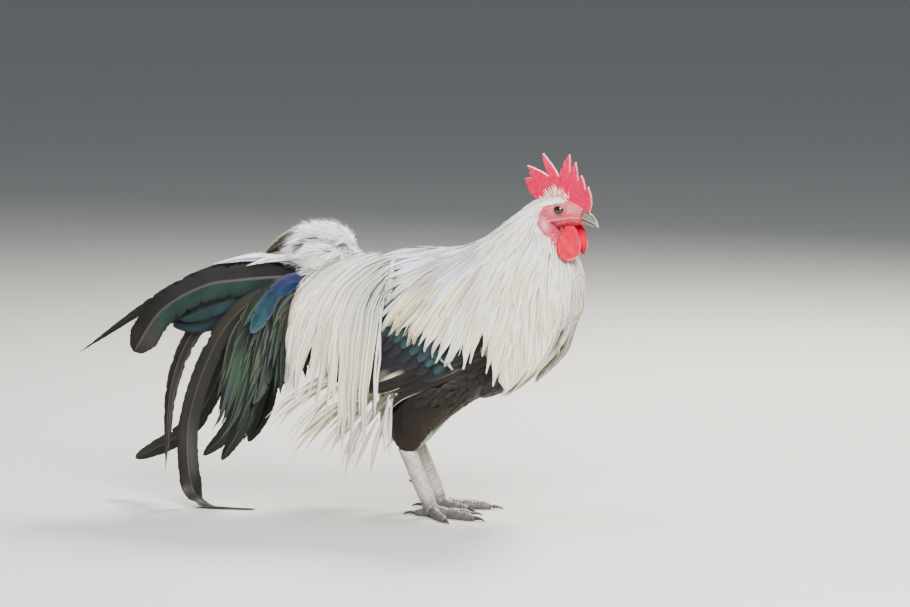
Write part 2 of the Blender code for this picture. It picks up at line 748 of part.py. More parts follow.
def centre_on_origin():
    """Parents every piece to one empty, moved so that the origin is under the middle of the whole box."""
    bpy.context.view_layer.update()
    graph = bpy.context.evaluated_depsgraph_get()
    corners = []
    for obj in bpy.data.objects:
        if obj.type == "MESH" and not obj.hide_render:
            mesh = obj.evaluated_get(graph).to_mesh()
            places = np.empty(len(mesh.vertices) * 3)
            mesh.vertices.foreach_get("co", places)
            places = places.reshape(-1, 3)
            corners += [places.min(axis=0), places.max(axis=0)]
    low, high = np.min(corners, axis=0), np.max(corners, axis=0)
    stance = bpy.data.objects.new("stance_point", None)
    bpy.context.scene.collection.objects.link(stance)
    stance.location = (-(low[0] + high[0]) / 2, -(low[1] + high[1]) / 2, 0.0)
    for obj in bpy.data.objects:
        if obj.type == "MESH":
            obj.parent = stance
    bpy.context.view_layer.update()


def main():
    for obj in list(bpy.data.objects):
        bpy.data.objects.remove(obj)
    make_trunk()
    make_head()
    for column, (side_name, side) in enumerate(SIDES, start=4):
        make_wing_and_thigh(side_name, side)
        make_leg(side_name, side, column)
    make_neck()
    for side_name, side in SIDES:
        make_saddle(side_name, side)
    make_tail()
    centre_on_origin()


main()
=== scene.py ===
"""Looks of a standing silver duckwing rooster at life size.

Lengths inside the classes are millimetres from the stance point, which is on the floor midway between the
ankles; +X is ahead, +Y is the bird's left. One class turns them into the row frame's metres.
"""

from __future__ import annotations

import json
import logging
import math
from dataclasses import dataclass, field, replace
from enum import Enum
from typing import Callable, Iterable, Sequence

import bmesh
import bpy
import numpy as np
from mathutils import Matrix, Vector
from mathutils.bvhtree import BVHTree

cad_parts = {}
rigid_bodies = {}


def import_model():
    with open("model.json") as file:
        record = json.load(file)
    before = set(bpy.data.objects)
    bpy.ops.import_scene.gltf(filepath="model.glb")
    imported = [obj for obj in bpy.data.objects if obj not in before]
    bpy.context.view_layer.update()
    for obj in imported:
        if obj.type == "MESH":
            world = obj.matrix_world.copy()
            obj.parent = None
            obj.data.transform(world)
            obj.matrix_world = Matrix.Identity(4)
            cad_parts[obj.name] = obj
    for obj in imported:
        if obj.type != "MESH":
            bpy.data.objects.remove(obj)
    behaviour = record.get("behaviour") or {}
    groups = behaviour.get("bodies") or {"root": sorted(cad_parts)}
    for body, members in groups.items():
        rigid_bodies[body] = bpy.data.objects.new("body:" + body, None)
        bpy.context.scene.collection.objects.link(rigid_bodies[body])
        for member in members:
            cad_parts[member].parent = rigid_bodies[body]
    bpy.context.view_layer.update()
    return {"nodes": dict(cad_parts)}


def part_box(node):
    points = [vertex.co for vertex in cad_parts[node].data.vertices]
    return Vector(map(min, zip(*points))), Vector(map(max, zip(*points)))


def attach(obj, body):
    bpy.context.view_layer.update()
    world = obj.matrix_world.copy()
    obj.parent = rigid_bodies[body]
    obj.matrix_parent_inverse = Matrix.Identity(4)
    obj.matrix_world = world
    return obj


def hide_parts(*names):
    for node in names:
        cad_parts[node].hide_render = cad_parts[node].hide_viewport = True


LOG = logging.getLogger("rooster")
MM = 0.001  # metres in a millimetre
Flow = Callable[[np.ndarray, np.ndarray], np.ndarray]  # ways to go, from places and normals
Spacing = Flow  # distances to keep, from places and normals
Paint = Flow  # colours, from shares across and along a vane
Pairs = tuple[tuple[float, float], ...]
Rows = Sequence[Sequence[float]]
Material, Object = bpy.types.Material, bpy.types.Object
Socket, Tree = bpy.types.NodeSocket, bpy.types.NodeTree
SIDES = (("right", -1.0), ("left", 1.0))
DOWNWARD = (0.0, 0.0, -1.0)
STEP = 5.0  # length of a step of a shaft line over the body, in millimetres
INERTIA = 0.5  # how much of its last way a shaft line keeps at each step
RIM = 0.55  # a line goes free where the normal agrees less than this with those before
NEVER = -2.0  # a limit on a normal's agreement that no line reaches
MEMORY = 0.6  # how much of the normals before it a line keeps at each step
STRAY = 3.4  # a shaft line goes free further than this from the nodes that it belongs to
ON_OWN = 3.0  # roots lie within this distance of the nodes that they belong to
HEAD_MIDDLE = (128.0, 0.0, 345.0)  # depth and relief of the skin change with the distance from here
FLESH = ("trunk", "wing_right", "wing_left", "thigh_right", "thigh_left")
WATTLE_REACH = 24.0  # the furthest that a wattle's rear half is pushed off the neck
WATTLE_WAY = (0.375, 0.927)  # the way that it is pushed, ahead and outward


# Small numeric helpers


def linear(code: str) -> np.ndarray:
    """Turns an sRGB hex colour into linear red, green and blue.

    Args:
        code: a colour such as "#F2F0EA".

    Returns:
        Three linear values from 0 to 1.
    """
    parts = np.array([int(code[i : i + 2], 16) / 255 for i in (1, 3, 5)])
    return np.where(parts <= 0.04045, parts / 12.92, ((parts + 0.055) / 1.055) ** 2.4)


def unit(vectors: np.ndarray) -> np.ndarray:
    """Vectors scaled to length one along the last axis."""
    return vectors / np.maximum(np.linalg.norm(vectors, axis=-1, keepdims=True), 1e-9)


def flattened(ways: np.ndarray, normals: np.ndarray) -> np.ndarray:
    """Ways turned to lie at a right angle to the normals, with length 1."""
    return unit(ways - normals * (ways * normals).sum(1, keepdims=True))


def smoothstep(low: float, high: float, value: np.ndarray) -> np.ndarray:
    """A soft step from 0 at low to 1 at high."""
    t = np.clip((np.asarray(value, float) - low) / (high - low), 0.0, 1.0)
    return t * t * (3 - 2 * t)


def ripple(points: np.ndarray, size: float, seed: int, waves: int = 7) -> np.ndarray:
    """Smooth random values from about -1 to 1 that vary over a given distance.

    Args:
        points: places, with three values on the last axis.
        size: distance over which the value changes.
        seed: a number that picks the pattern.
        waves: how many sine waves are summed.

    Returns:
        One value for each place.
    """
    rng = np.random.default_rng(seed)
    total = np.zeros(points.shape[:-1])
    for _ in range(waves):
        way = unit(rng.normal(size=3))
        total += np.sin(points @ way * (2 * math.pi / (size * rng.uniform(0.7, 1.6))) + rng.uniform(0, 7))
    return total / math.sqrt(waves / 2) * 0.6


def bell(value: np.ndarray, size: float) -> np.ndarray:
    """A bump that is 1 where the value is 0 and fades over a given distance."""
    return np.exp(-((value / size) ** 2))


def bulged(value: np.ndarray, power: float | np.ndarray) -> np.ndarray:
    """Values raised to a power with their signs kept, to make a circle squarer or more pointed."""
    return np.sign(value) * np.abs(value) ** power


def flood(code: str, shape: tuple[int, ...]) -> np.ndarray:
    """One sRGB hex colour as a linear colour at every place of a field."""
    return np.broadcast_to(linear(code), shape)


def mix(first: np.ndarray, second: np.ndarray, share: np.ndarray) -> np.ndarray:
    """Blends two colours or two fields of colours by a share from 0 to 1."""
    share = np.asarray(share)[..., None]
    return first * (1 - share) + second * share


def painted(base: np.ndarray, *layers: tuple[str, np.ndarray]) -> np.ndarray:
    """Lays sRGB hex colours over a field of colours in order, each by its own share."""
    for code, share in layers:
        base = mix(base, linear(code), share)
    return base


def circle(corners: int) -> tuple[np.ndarray, np.ndarray]:
    """Cosines and sines of even places round a circle."""
    angles = np.arange(corners) * 2 * math.pi / corners
    return np.cos(angles), np.sin(angles)


def looked_up(places: np.ndarray, table: Rows) -> np.ndarray:
    """Reads a table of places and values at other places."""
    return np.interp(places, *zip(*table))


def smooth_rows(rows: Rows, count: int) -> np.ndarray:
    """Reads rows evenly from a smooth curve through the given rows.

    Args:
        rows: the rows that the curve passes through.
        count: how many rows to return.

    Returns:
        An array of count rows.
    """
    table = np.array(rows, float)
    padded = np.vstack([2 * table[0] - table[1], table, 2 * table[-1] - table[-2]])
    place = np.linspace(0, len(table) - 1, count)
    i = np.minimum(place.astype(int), len(table) - 2)
    t = (place - i)[:, None]
    a, b, c, d = (padded[i + k] for k in range(4))
    return 0.5 * (2 * b + (c - a) * t + (2 * a - 5 * b + 4 * c - d) * t**2 + (3 * b - a - 3 * c + d) * t**3)


# Materials


def add(tree: Tree, kind: str, inputs: dict | None = None, **settings: object) -> bpy.types.Node:
    """Adds one node with its settings, values and links.

    Args:
        tree: the material's node tree.
        kind: the node's type name.
        inputs: for each input, by name or number, a value or the socket that feeds it.
        settings: the node's own properties.

    Returns:
        The new node.
    """
    node = tree.nodes.new(kind)
    for key, value in settings.items():
        setattr(node, key, value)
    feed(tree, node, inputs or {})
    return node


def feed(tree: Tree, node: bpy.types.Node, inputs: dict) -> None:
    """Gives each named input of a node its value, or links it to the socket that feeds it."""
    for key, value in inputs.items():
        if isinstance(value, bpy.types.NodeSocket):
            tree.links.new(value, node.inputs[key])
        else:
            node.inputs[key].default_value = value


def worked(tree: Tree, operation: str, *values: object) -> Socket:
    """The result of a math node on values or sockets."""
    return add(tree, "ShaderNodeMath", dict(enumerate(values)), operation=operation).outputs[0]


def scaled(tree: Tree, colour: Socket, by: Socket) -> Socket:
    """A colour made brighter or darker by a factor."""
    return add(tree, "ShaderNodeVectorMath", {0: colour, "Scale": by}, operation="SCALE").outputs[0]


def ranged(tree: Tree, value: Socket, low: float, high: float, at_low: float, at_high: float) -> Socket:
    """A value mapped from the range low to high to the range at_low to at_high, and held within it."""
    ends = {"From Min": low, "From Max": high, "To Min": at_low, "To Max": at_high}
    return add(tree, "ShaderNodeMapRange", {"Value": value, **ends}).outputs["Result"]


def raised(tree: Tree, height: Socket, strength: float, depth: float,
           invert: bool = False) -> Socket:
    """A normal bent by a height; depth is in millimetres."""
    return add(tree, "ShaderNodeBump", {"Height": height, "Strength": strength, "Distance": depth * MM},
               invert=invert).outputs["Normal"]


def blank_material(name: str) -> tuple[Material, Tree, bpy.types.Node]:
    """Makes a material that holds only a Principled shader; returns it, its node tree and the shader."""
    made = bpy.data.materials.new(name)
    made.use_nodes = True
    return made, made.node_tree, made.node_tree.nodes["Principled BSDF"]


def tint_of(tree: Tree) -> Socket:
    """The colour that a piece stores at its corners."""
    return add(tree, "ShaderNodeAttribute", attribute_name="tint").outputs["Color"]


@dataclass(frozen=True)
class FeatherFinish:
    """Keratin vanes: hooked barbs on a shaft, which the eye sees as fine slanting lines and a soft gloss."""

    name: str
    roughness: float
    metallic: float = 0.0
    sheen: float = 0.0
    shine: float = 0.5
    barb_slope: float = 0.9  # how far a barb runs toward the tip for each millimetre across
    barb_pitch: float = 1.1  # mm; real barbs are 0.4 to 0.6 mm apart, drawn coarser so that they show
    barb_depth: float = 0.12  # mm
    barb_contrast: float = 0.12
    shaft_width: float = 0.35  # mm
    shaft_core: float = 0.4  # share of that width where the shaft shows in full
    shaft_rise: float = 3.0  # height of the shaft against that of a barb
    relief: float = 0.6
    shaft_colour: str = "#EFE8D6"
    shaft_share: float = 0.25

    def build(self) -> Material:
        """Makes the material.

        Returns:
            A material whose colour comes from the piece's tint.
        """
        made, tree, shader = blank_material(self.name)
        tint = tint_of(tree)
        vane = add(tree, "ShaderNodeUVMap", uv_map="vane").outputs["UV"]
        split = add(tree, "ShaderNodeSeparateXYZ", {0: vane})
        away = worked(tree, "ABSOLUTE", split.outputs["X"])
        slant = worked(tree, "MULTIPLY_ADD", away, -self.barb_slope, split.outputs["Y"])
        phase = worked(tree, "MULTIPLY", slant, 2 * math.pi / self.barb_pitch)
        barbs = worked(tree, "SINE", phase)
        core = self.shaft_width * self.shaft_core
        shaft = ranged(tree, away, core, self.shaft_width, self.shaft_share, 0.0)
        shade = ranged(tree, barbs, -1.0, 1.0, 1.0 - self.barb_contrast, 1.0)
        barbed = scaled(tree, tint, shade)
        pale = (*linear(self.shaft_colour), 1.0)
        coloured = add(tree, "ShaderNodeMix", {"Factor": shaft, 6: barbed, 7: pale},
                       data_type="RGBA").outputs[2]
        height = worked(tree, "MULTIPLY_ADD", shaft, self.shaft_rise, barbs)
        bump = raised(tree, height, self.relief, self.barb_depth)
        feed(tree, shader, {"Base Color": coloured, "Normal": bump, "Roughness": self.roughness,
                            "Metallic": self.metallic, "Sheen Weight": self.sheen,
                            "Specular IOR Level": self.shine})
        return made


@dataclass(frozen=True)
class SkinFinish:
    """Living skin: soft and finely pebbled, and full of blood where it is bare, so that it glows red."""

    name: str
    roughness: float = 0.5
    shine: float = 0.12
    pebble: float = 1.1  # mm between pebbles
    pebble_depth: float = 0.16  # mm
    glow: float = 0.3
    patch: float = 4.5  # mm across a paler or darker patch
    glow_depth: float = 1.6  # mm that light goes into the skin
    glow_reach: tuple[float, float, float] = (1.0, 0.25, 0.2)  # of red, green and blue against it

    def build(self) -> Material:
        """Makes the material.

        Returns:
            A material whose colour comes from the piece's tint, mottled by two sizes of noise.
        """
        made, tree, shader = blank_material(self.name)
        tint = tint_of(tree)
        place = add(tree, "ShaderNodeTexCoord").outputs["Object"]
        cells = add(tree, "ShaderNodeTexVoronoi", {"Vector": place, "Scale": 1 / (self.pebble * MM)},
                    feature="SMOOTH_F1").outputs["Distance"]
        patches = add(tree, "ShaderNodeTexNoise", {"Vector": place, "Scale": 1 / (self.patch * MM),
                                                   "Detail": 4.0}).outputs["Fac"]
        shade = ranged(tree, patches, 0.3, 0.7, 0.84, 1.1)
        dim = ranged(tree, cells, 0.0, 0.8, 1.05, 0.8)
        colour = scaled(tree, tint, worked(tree, "MULTIPLY", shade, dim))
        bump = raised(tree, cells, 0.7, self.pebble_depth, True)
        feed(tree, shader, {"Base Color": colour, "Normal": bump, "Roughness": self.roughness,
                            "Specular IOR Level": self.shine, "Subsurface Weight": self.glow,
                            "Subsurface Radius": self.glow_reach,
                            "Subsurface Scale": self.glow_depth * MM})
        return made


@dataclass(frozen=True)
class HornFinish:
    """Horn sheath: layered keratin, worn smooth, seen as fine lengthwise streaks under a low gloss."""

    name: str
    roughness: float = 0.3
    streak: float = 0.6  # mm across a streak
    stretch: float = 0.15  # width of a streak against its length
    depth: float = 0.05  # mm

    def build(self) -> Material:
        """Makes the material.

        Returns:
            A material whose colour comes from the piece's tint, with streaks along +X.
        """
        made, tree, shader = blank_material(self.name)
        tint = tint_of(tree)
        place = add(tree, "ShaderNodeTexCoord").outputs["Object"]
        drawn = add(tree, "ShaderNodeMapping",
                    {"Vector": place, "Scale": (self.stretch, 1.0, 1.0)}).outputs["Vector"]
        noise = add(tree, "ShaderNodeTexNoise", {"Vector": drawn, "Scale": 1 / (self.streak * MM),
                                                 "Detail": 3.0}).outputs["Fac"]
        colour = scaled(tree, tint, ranged(tree, noise, 0.3, 0.7, 0.78, 1.12))
        bump = raised(tree, noise, 0.25, self.depth)
        feed(tree, shader, {"Base Color": colour, "Normal": bump, "Roughness": self.roughness})
        return made


@dataclass(frozen=True)
class EyeFinish:
    """Wet cornea over a dark brown iris: a mirror-like glaze with the colour deep below it."""

    name: str = "wet_eye"
    roughness: float = 0.12
    glaze: float = 1.0  # weight of the clear coat
    glaze_roughness: float = 0.02
    glaze_index: float = 1.38  # index of refraction of a cornea

    def build(self) -> Material:
        """Makes the material.

        Returns:
            A glossy material whose colour comes from the piece's tint.
        """
        made, tree, shader = blank_material(self.name)
        feed(tree, shader, {"Base Color": tint_of(tree), "Roughness": self.roughness,
                            "Coat Weight": self.glaze, "Coat Roughness": self.glaze_roughness,
                            "Coat IOR": self.glaze_index})
        return made


# Placing and meshing


@dataclass
class Stance:
    """Where the stance point is in the row frame, and the turn of the head."""

    trunk_front: float = 152.0  # how far the trunk's front end is ahead of the stance point
    head_turn: float = math.radians(-7.0)
    head_pivot: tuple[float, float] = (100.0, 0.0)
    origin: np.ndarray = field(default_factory=lambda: np.zeros(3))

    def measure(self) -> None:
        """Finds the stance point from the trunk's box."""
        low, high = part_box("trunk")
        self.origin = np.array([high.x - self.trunk_front * MM, (low.y + high.y) / 2, 0.0])

    def to_row(self, points: np.ndarray) -> np.ndarray:
        """Millimetres from the stance point as metres in the row frame."""
        return points * MM + self.origin

    def from_row(self, points: np.ndarray) -> np.ndarray:
        """Metres in the row frame as millimetres from the stance point."""
        return (points - self.origin) / MM

    def turned(self, points: np.ndarray, back: bool = False) -> np.ndarray:
        """Points of the straight head turned to where it looks, or back again."""
        angle = -self.head_turn if back else self.head_turn
        c, s = math.cos(angle), math.sin(angle)
        x = points[..., 0] - self.head_pivot[0]
        y = points[..., 1] - self.head_pivot[1]
        return np.stack([self.head_pivot[0] + c * x - s * y, self.head_pivot[1] + s * x + c * y,
                         points[..., 2]], axis=-1)


STANCE = Stance()
# Where feathers start behind the bare face, in the straight head: height, distance ahead.
FACE_LINE = ((298, 190), (302, 165), (306, 149), (312, 140), (319, 134), (326, 129), (331, 125), (335, 119),
             (337.5, 116), (339.5, 120), (341.5, 124), (347, 127), (351, 129), (353.5, 136), (355.5, 150),
             (365, 152))


def linked(name: str, data: bpy.types.ID) -> Object:
    """A new object of the scene that holds the given data."""
    obj = bpy.data.objects.new(name, data)
    bpy.context.scene.collection.objects.link(obj)
    return obj


def discard(objects: Iterable[Object]) -> None:
    """Removes helper objects."""
    for obj in objects:
        bpy.data.objects.remove(obj)


def as_object(bm: bmesh.types.BMesh, name: str) -> Object:
    """Turns a bmesh into an object of the scene, and frees it."""
    mesh = bpy.data.meshes.new(name)
    bm.to_mesh(mesh)
    bm.free()
    return linked(name, mesh)


def new_piece(name: str, points: np.ndarray, faces: np.ndarray | Rows, finish: Material) -> Object:
    """Makes a smooth-shaded object from millimetre corners.

    Args:
        name: the piece's name.
        points: corners in millimetres from the stance point.
        faces: corner numbers of each face.
        finish: its material.

    Returns:
        The object, which rides on the root body.
    """
    mesh = bpy.data.meshes.new(name)
    mesh.from_pydata(STANCE.to_row(points.reshape(-1, 3)).tolist(), [],
                     faces.tolist() if isinstance(faces, np.ndarray) else faces)
    mesh.update()
    mesh.shade_smooth()
    mesh.materials.append(finish)
    obj = linked(name, mesh)
    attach(obj, "root")
    return obj


def set_tint(obj: Object, colours: np.ndarray) -> None:
    """Stores one linear colour for each corner of a mesh under the name tint."""
    layer = obj.data.color_attributes.new("tint", "FLOAT_COLOR", "POINT")
    rgba = np.ones((len(obj.data.vertices), 4), np.float32)
    rgba[:, :3] = colours.reshape(-1, 3)
    layer.data.foreach_set("color", rgba.ravel())


def refinish(obj: Object, finish: Material) -> None:
    """Gives a piece its only finish, and smooth shading."""
    obj.data.materials.clear()
    obj.data.materials.append(finish)
    obj.data.shade_smooth()


def set_map(obj: Object, name: str, places: np.ndarray) -> None:
    """Stores a UV map given by its value at each corner."""
    loops = np.empty(len(obj.data.loops), np.int32)
    obj.data.loops.foreach_get("vertex_index", loops)
    layer = obj.data.uv_layers.new(name=name)
    layer.data.foreach_set("uv", places.reshape(-1, 2)[loops].astype(np.float32).ravel())


def mesh_points(obj: Object) -> np.ndarray:
    """Corners of a mesh in millimetres from the stance point."""
    flat = np.empty(len(obj.data.vertices) * 3)
    obj.data.vertices.foreach_get("co", flat)
    return STANCE.from_row(flat.reshape(-1, 3))


def put_points(obj: Object, points: np.ndarray) -> None:
    """Moves the corners of a mesh to places in millimetres from the stance point."""
    obj.data.vertices.foreach_set("co", STANCE.to_row(points).ravel())
    obj.data.update()


def mesh_normals(obj: Object) -> np.ndarray:
    """Smooth normals at the corners of a mesh."""
    flat = np.empty(len(obj.data.vertices) * 3, np.float32)
    obj.data.vertex_normals.foreach_get("vector", flat)
    return flat.reshape(-1, 3).astype(float)


def apply_modifiers(obj: Object) -> None:
    """Replaces a mesh by what its modifiers make of it."""
    bpy.context.view_layer.update()
    graph = bpy.context.evaluated_depsgraph_get()
    made = bpy.data.meshes.new_from_object(obj.evaluated_get(graph))
    obj.modifiers.clear()
    obj.data = made


def remeshed(name: str, sources: Iterable[Object], voxel: float, smoothing: int) -> Object:
    """Joins copies of objects into one closed skin.

    Args:
        name: the new object's name.
        sources: the objects whose union it is.
        voxel: size of a cell, in millimetres.
        smoothing: how many rounds of smoothing follow.

    Returns:
        The new object.
    """
    bm = bmesh.new()
    for source in sources:
        bm.from_mesh(source.data)
    obj = as_object(bm, name)
    cells = obj.modifiers.new("cells", "REMESH")
    cells.mode = "VOXEL"
    cells.voxel_size = voxel * MM
    soft = obj.modifiers.new("soft", "SMOOTH")
    soft.iterations = smoothing
    apply_modifiers(obj)
    return obj


def gaps_to(tree: BVHTree, points: np.ndarray) -> np.ndarray:
    """Distance of each point from the faces of a tree."""
    return np.array([tree.find_nearest(Vector(p))[3] for p in points])


def raw_tree(nodes: Iterable[str]) -> BVHTree:
    """A search tree over the faces of CAD nodes as they are, in millimetres."""
    corners: list[list[float]] = []
    faces: list[list[int]] = []
    for name in nodes:
        obj = bpy.data.objects[name]
        faces += [[v + len(corners) for v in p.vertices] for p in obj.data.polygons]
        corners += mesh_points(obj).tolist()
    return BVHTree.FromPolygons(corners, faces)


class Guide:
    """An outer surface that feathers follow."""

    def __init__(self, name: str, nodes: Iterable[str], own: Iterable[str] = (), voxel: float = 3.0,
                 smoothing: int = 6) -> None:
        """Builds the surface from CAD nodes.

        Args:
            name: a name for the helper mesh.
            nodes: the nodes whose union it is.
            own: those of them that feathers stay on; a line that leaves them hangs free.
            voxel: size of a cell, in millimetres.
            smoothing: rounds of smoothing.
        """
        obj = remeshed(name, [bpy.data.objects[n] for n in nodes], voxel, smoothing)
        self.own = raw_tree(own) if own else None
        self.read(obj)
        bpy.data.objects.remove(obj)

    def read(self, obj: Object) -> None:
        """Takes the surface of an object."""
        obj.data.calc_loop_triangles()
        self.points = mesh_points(obj)
        self.normals = mesh_normals(obj)
        flat = np.empty(len(obj.data.loop_triangles) * 3, np.int32)
        obj.data.loop_triangles.foreach_get("vertices", flat)
        self.triangles = flat.reshape(-1, 3)
        self.tree = BVHTree.FromPolygons(self.points.tolist(), self.triangles.tolist())

    @classmethod
    def over(cls, obj: Object) -> Guide:
        """A guide on the surface of a finished piece."""
        guide = cls.__new__(cls)
        guide.own = None
        guide.read(obj)
        return guide

    def nearest(self, points: np.ndarray) -> tuple[np.ndarray, np.ndarray]:
        """Finds the closest places on the surface.

        Args:
            points: places to start from.

        Returns:
            The places on the surface, and the smooth normals there.
        """
        found = [self.tree.find_nearest(Vector(p)) for p in points]
        places = np.array([f[0] for f in found])
        corners = self.triangles[[f[2] for f in found]]
        near = 1 / (np.linalg.norm(self.points[corners] - places[:, None], axis=2) + 0.3)
        normals = (self.normals[corners] * near[..., None]).sum(axis=1)
        return places, unit(normals)

    def off_own(self, points: np.ndarray) -> np.ndarray:
        """Distance of places from the nodes that feathers stay on."""
        if self.own is None:
            return np.zeros(len(points))
        return gaps_to(self.own, points)

    def inside_by(self, points: np.ndarray) -> np.ndarray:
        """How deep places are under the surface; negative outside."""
        places, normals = self.nearest(points)
        return -np.einsum("ij,ij->i", points - places, normals)

    def scatter(self, spacing: Spacing, seed: int, tries: float = 5.0) -> np.ndarray:
        """Spreads places over the surface, each kept clear of the others.

        Args:
            spacing: gives the distance to keep at each place from its position and normal; 0 keeps
                none there.
            seed: picks the pattern.
            tries: how many candidates are drawn for each place that would fit.

        Returns:
            The places.
        """
        rng = np.random.default_rng(seed)
        a, b, c = (self.points[self.triangles[:, k]] for k in range(3))
        crossed = np.cross(b - a, c - a)
        area = np.linalg.norm(crossed, axis=1) / 2
        middle = (a + b + c) / 3
        gap = spacing(middle, unit(crossed))
        gap[gap > 0] *= self.off_own(middle[gap > 0]) < ON_OWN
        weight = np.where(gap > 0, area / np.maximum(gap, 0.2) ** 2, 0.0)
        picked = rng.choice(len(area), size=int(weight.sum() * tries) + 1, p=weight / weight.sum())
        u, v = rng.random(len(picked)), rng.random(len(picked))
        flip = u + v > 1
        u[flip], v[flip] = 1 - u[flip], 1 - v[flip]
        places = a[picked] + (b - a)[picked] * u[:, None] + (c - a)[picked] * v[:, None]
        return places[thin_out(places, gap[picked])]


def thin_out(points: np.ndarray, gaps: np.ndarray) -> np.ndarray:
    """Picks points so that none is nearer to an earlier one than its gap.

    Args:
        points: candidate places.
        gaps: distance to keep at each.

    Returns:
        The numbers of the points kept.
    """
    cell = float(gaps.max()) + 1e-6
    grid: dict[tuple[int, int, int], list[int]] = {}
    keys = np.floor(points / cell).astype(int).tolist()
    rows = points.tolist()
    kept: list[int] = []
    near = [(i, j, k) for i in (-1, 0, 1) for j in (-1, 0, 1) for k in (-1, 0, 1)]
    for n, (x, y, z) in enumerate(keys):
        px, py, pz = rows[n]
        limit = gaps[n] ** 2
        clear = True
        for i, j, k in near:
            for m in grid.get((x + i, y + j, z + k), ()):
                qx, qy, qz = rows[m]
                if (px - qx) ** 2 + (py - qy) ** 2 + (pz - qz) ** 2 < limit:
                    clear = False
                    break
            if not clear:
                break
        if clear:
            kept.append(n)
            grid.setdefault((x, y, z), []).append(n)
    return np.array(kept, int)


@dataclass
class Unwrap:
    """Unwraps places round a bent spine, for the coat's map."""

    spine: Pairs = (
        (-190.0, 262.0), (-60.0, 232.0), (40.0, 222.0), (92.0, 275.0), (118.0, 335.0), (190.0, 340.0))
    patch: float = 0.003  # side of one vane's square on the map
    margin: float = 0.01
    spread: float = 0.97  # share of the map that the places take up

    def places(self, roots: np.ndarray) -> np.ndarray:
        """Map places of points on the body.

        Args:
            roots: places in millimetres.

        Returns:
            For each, its share along the spine and its share of a turn round it.
        """
        line = np.array([(x, 0.0, z) for x, z in self.spine])
        starts, ends = line[:-1], line[1:]
        ways = ends - starts
        lengths = np.linalg.norm(ways, axis=1)
        before = np.concatenate([[0], np.cumsum(lengths)[:-1]])
        flat = roots.reshape(-1, 3)
        share = np.clip(((flat[:, None] - starts) * ways).sum(2) / lengths**2, 0, 1)
        foot = starts + share[..., None] * ways
        away = np.linalg.norm(flat[:, None] - foot, axis=2)
        best = away.argmin(axis=1)
        rows = np.arange(len(flat))
        along = (before[best] + share[rows, best] * lengths[best]) / lengths.sum()
        offset = flat - foot[rows, best]
        way = ways[best] / lengths[best][:, None]
        up = np.column_stack([-way[:, 2], np.zeros(len(flat)), way[:, 0]])
        turn = np.arctan2(offset[:, 1], (offset * up).sum(1)) / (2 * math.pi) + 0.5
        return self.margin + self.spread * np.column_stack([along, turn])


UNWRAP = Unwrap()


@dataclass
class Lines:
    """Shaft lines of many feathers, at even stations from root to tip."""

    places: np.ndarray
    normals: np.ndarray
    lengths: np.ndarray
    roots: np.ndarray

    @property
    def share(self) -> np.ndarray:
        """Share of the way from root to tip at each station."""
        return np.linspace(0, 1, self.places.shape[1])

    @property
    def middles(self) -> np.ndarray:
        """The station halfway along each line."""
        return self.places[:, self.places.shape[1] // 2]

    def picked(self, keep: np.ndarray) -> Lines:
        """The lines chosen by a mask or by numbers."""
        return Lines(self.places[keep], self.normals[keep], self.lengths[keep], self.roots[keep])

    def each(self, value: float | np.ndarray) -> np.ndarray:
        """A value for each line, from one for all or one for each."""
        return np.broadcast_to(np.asarray(value, float), (len(self.places),))

    def lifted(self, root: float | np.ndarray, tip: float | np.ndarray, power: float = 0.7) -> Lines:
        """Moves the lines off the guide surface.

        Args:
            root: height of the root, one for all or one for each line.
            tip: height of the tip, in the same way.
            power: how soon it rises.

        Returns:
            The moved lines.
        """
        low, high = self.each(root)[:, None], self.each(tip)[:, None]
        height = low + (high - low) * self.share[None] ** power
        return replace(self, places=self.places + self.normals * height[..., None])

    def gathered(self, gap: float, strength: float, start: float, seed: int) -> Lines:
        """Draws tips together into pointed locks.

        Args:
            gap: distance between the locks' tips.
            strength: share of the way that a tip goes to its lock's tip.
            start: share of the length where the drawing starts.
            seed: picks the locks.

        Returns:
            The moved lines.
        """
        rng = np.random.default_rng(seed)
        tips = self.places[:, -1]
        order = rng.permutation(len(tips))
        leaders = order[thin_out(tips[order], np.full(len(tips), gap))]
        away = ((tips[:, None] - tips[leaders][None]) ** 2).sum(2)
        mine = leaders[away.argmin(axis=1)]
        weight = strength * smoothstep(start, 1.0, self.share)[None, :, None]
        shift = self.places[mine] - self.places
        shift -= self.normals * (shift * self.normals).sum(2, keepdims=True) * 0.7
        reach = np.clip(1.6 * gap / (np.linalg.norm(shift[:, -1], axis=1) + 1e-6), 0, 1)
        return replace(self, places=self.places + shift * weight * reach[:, None, None])


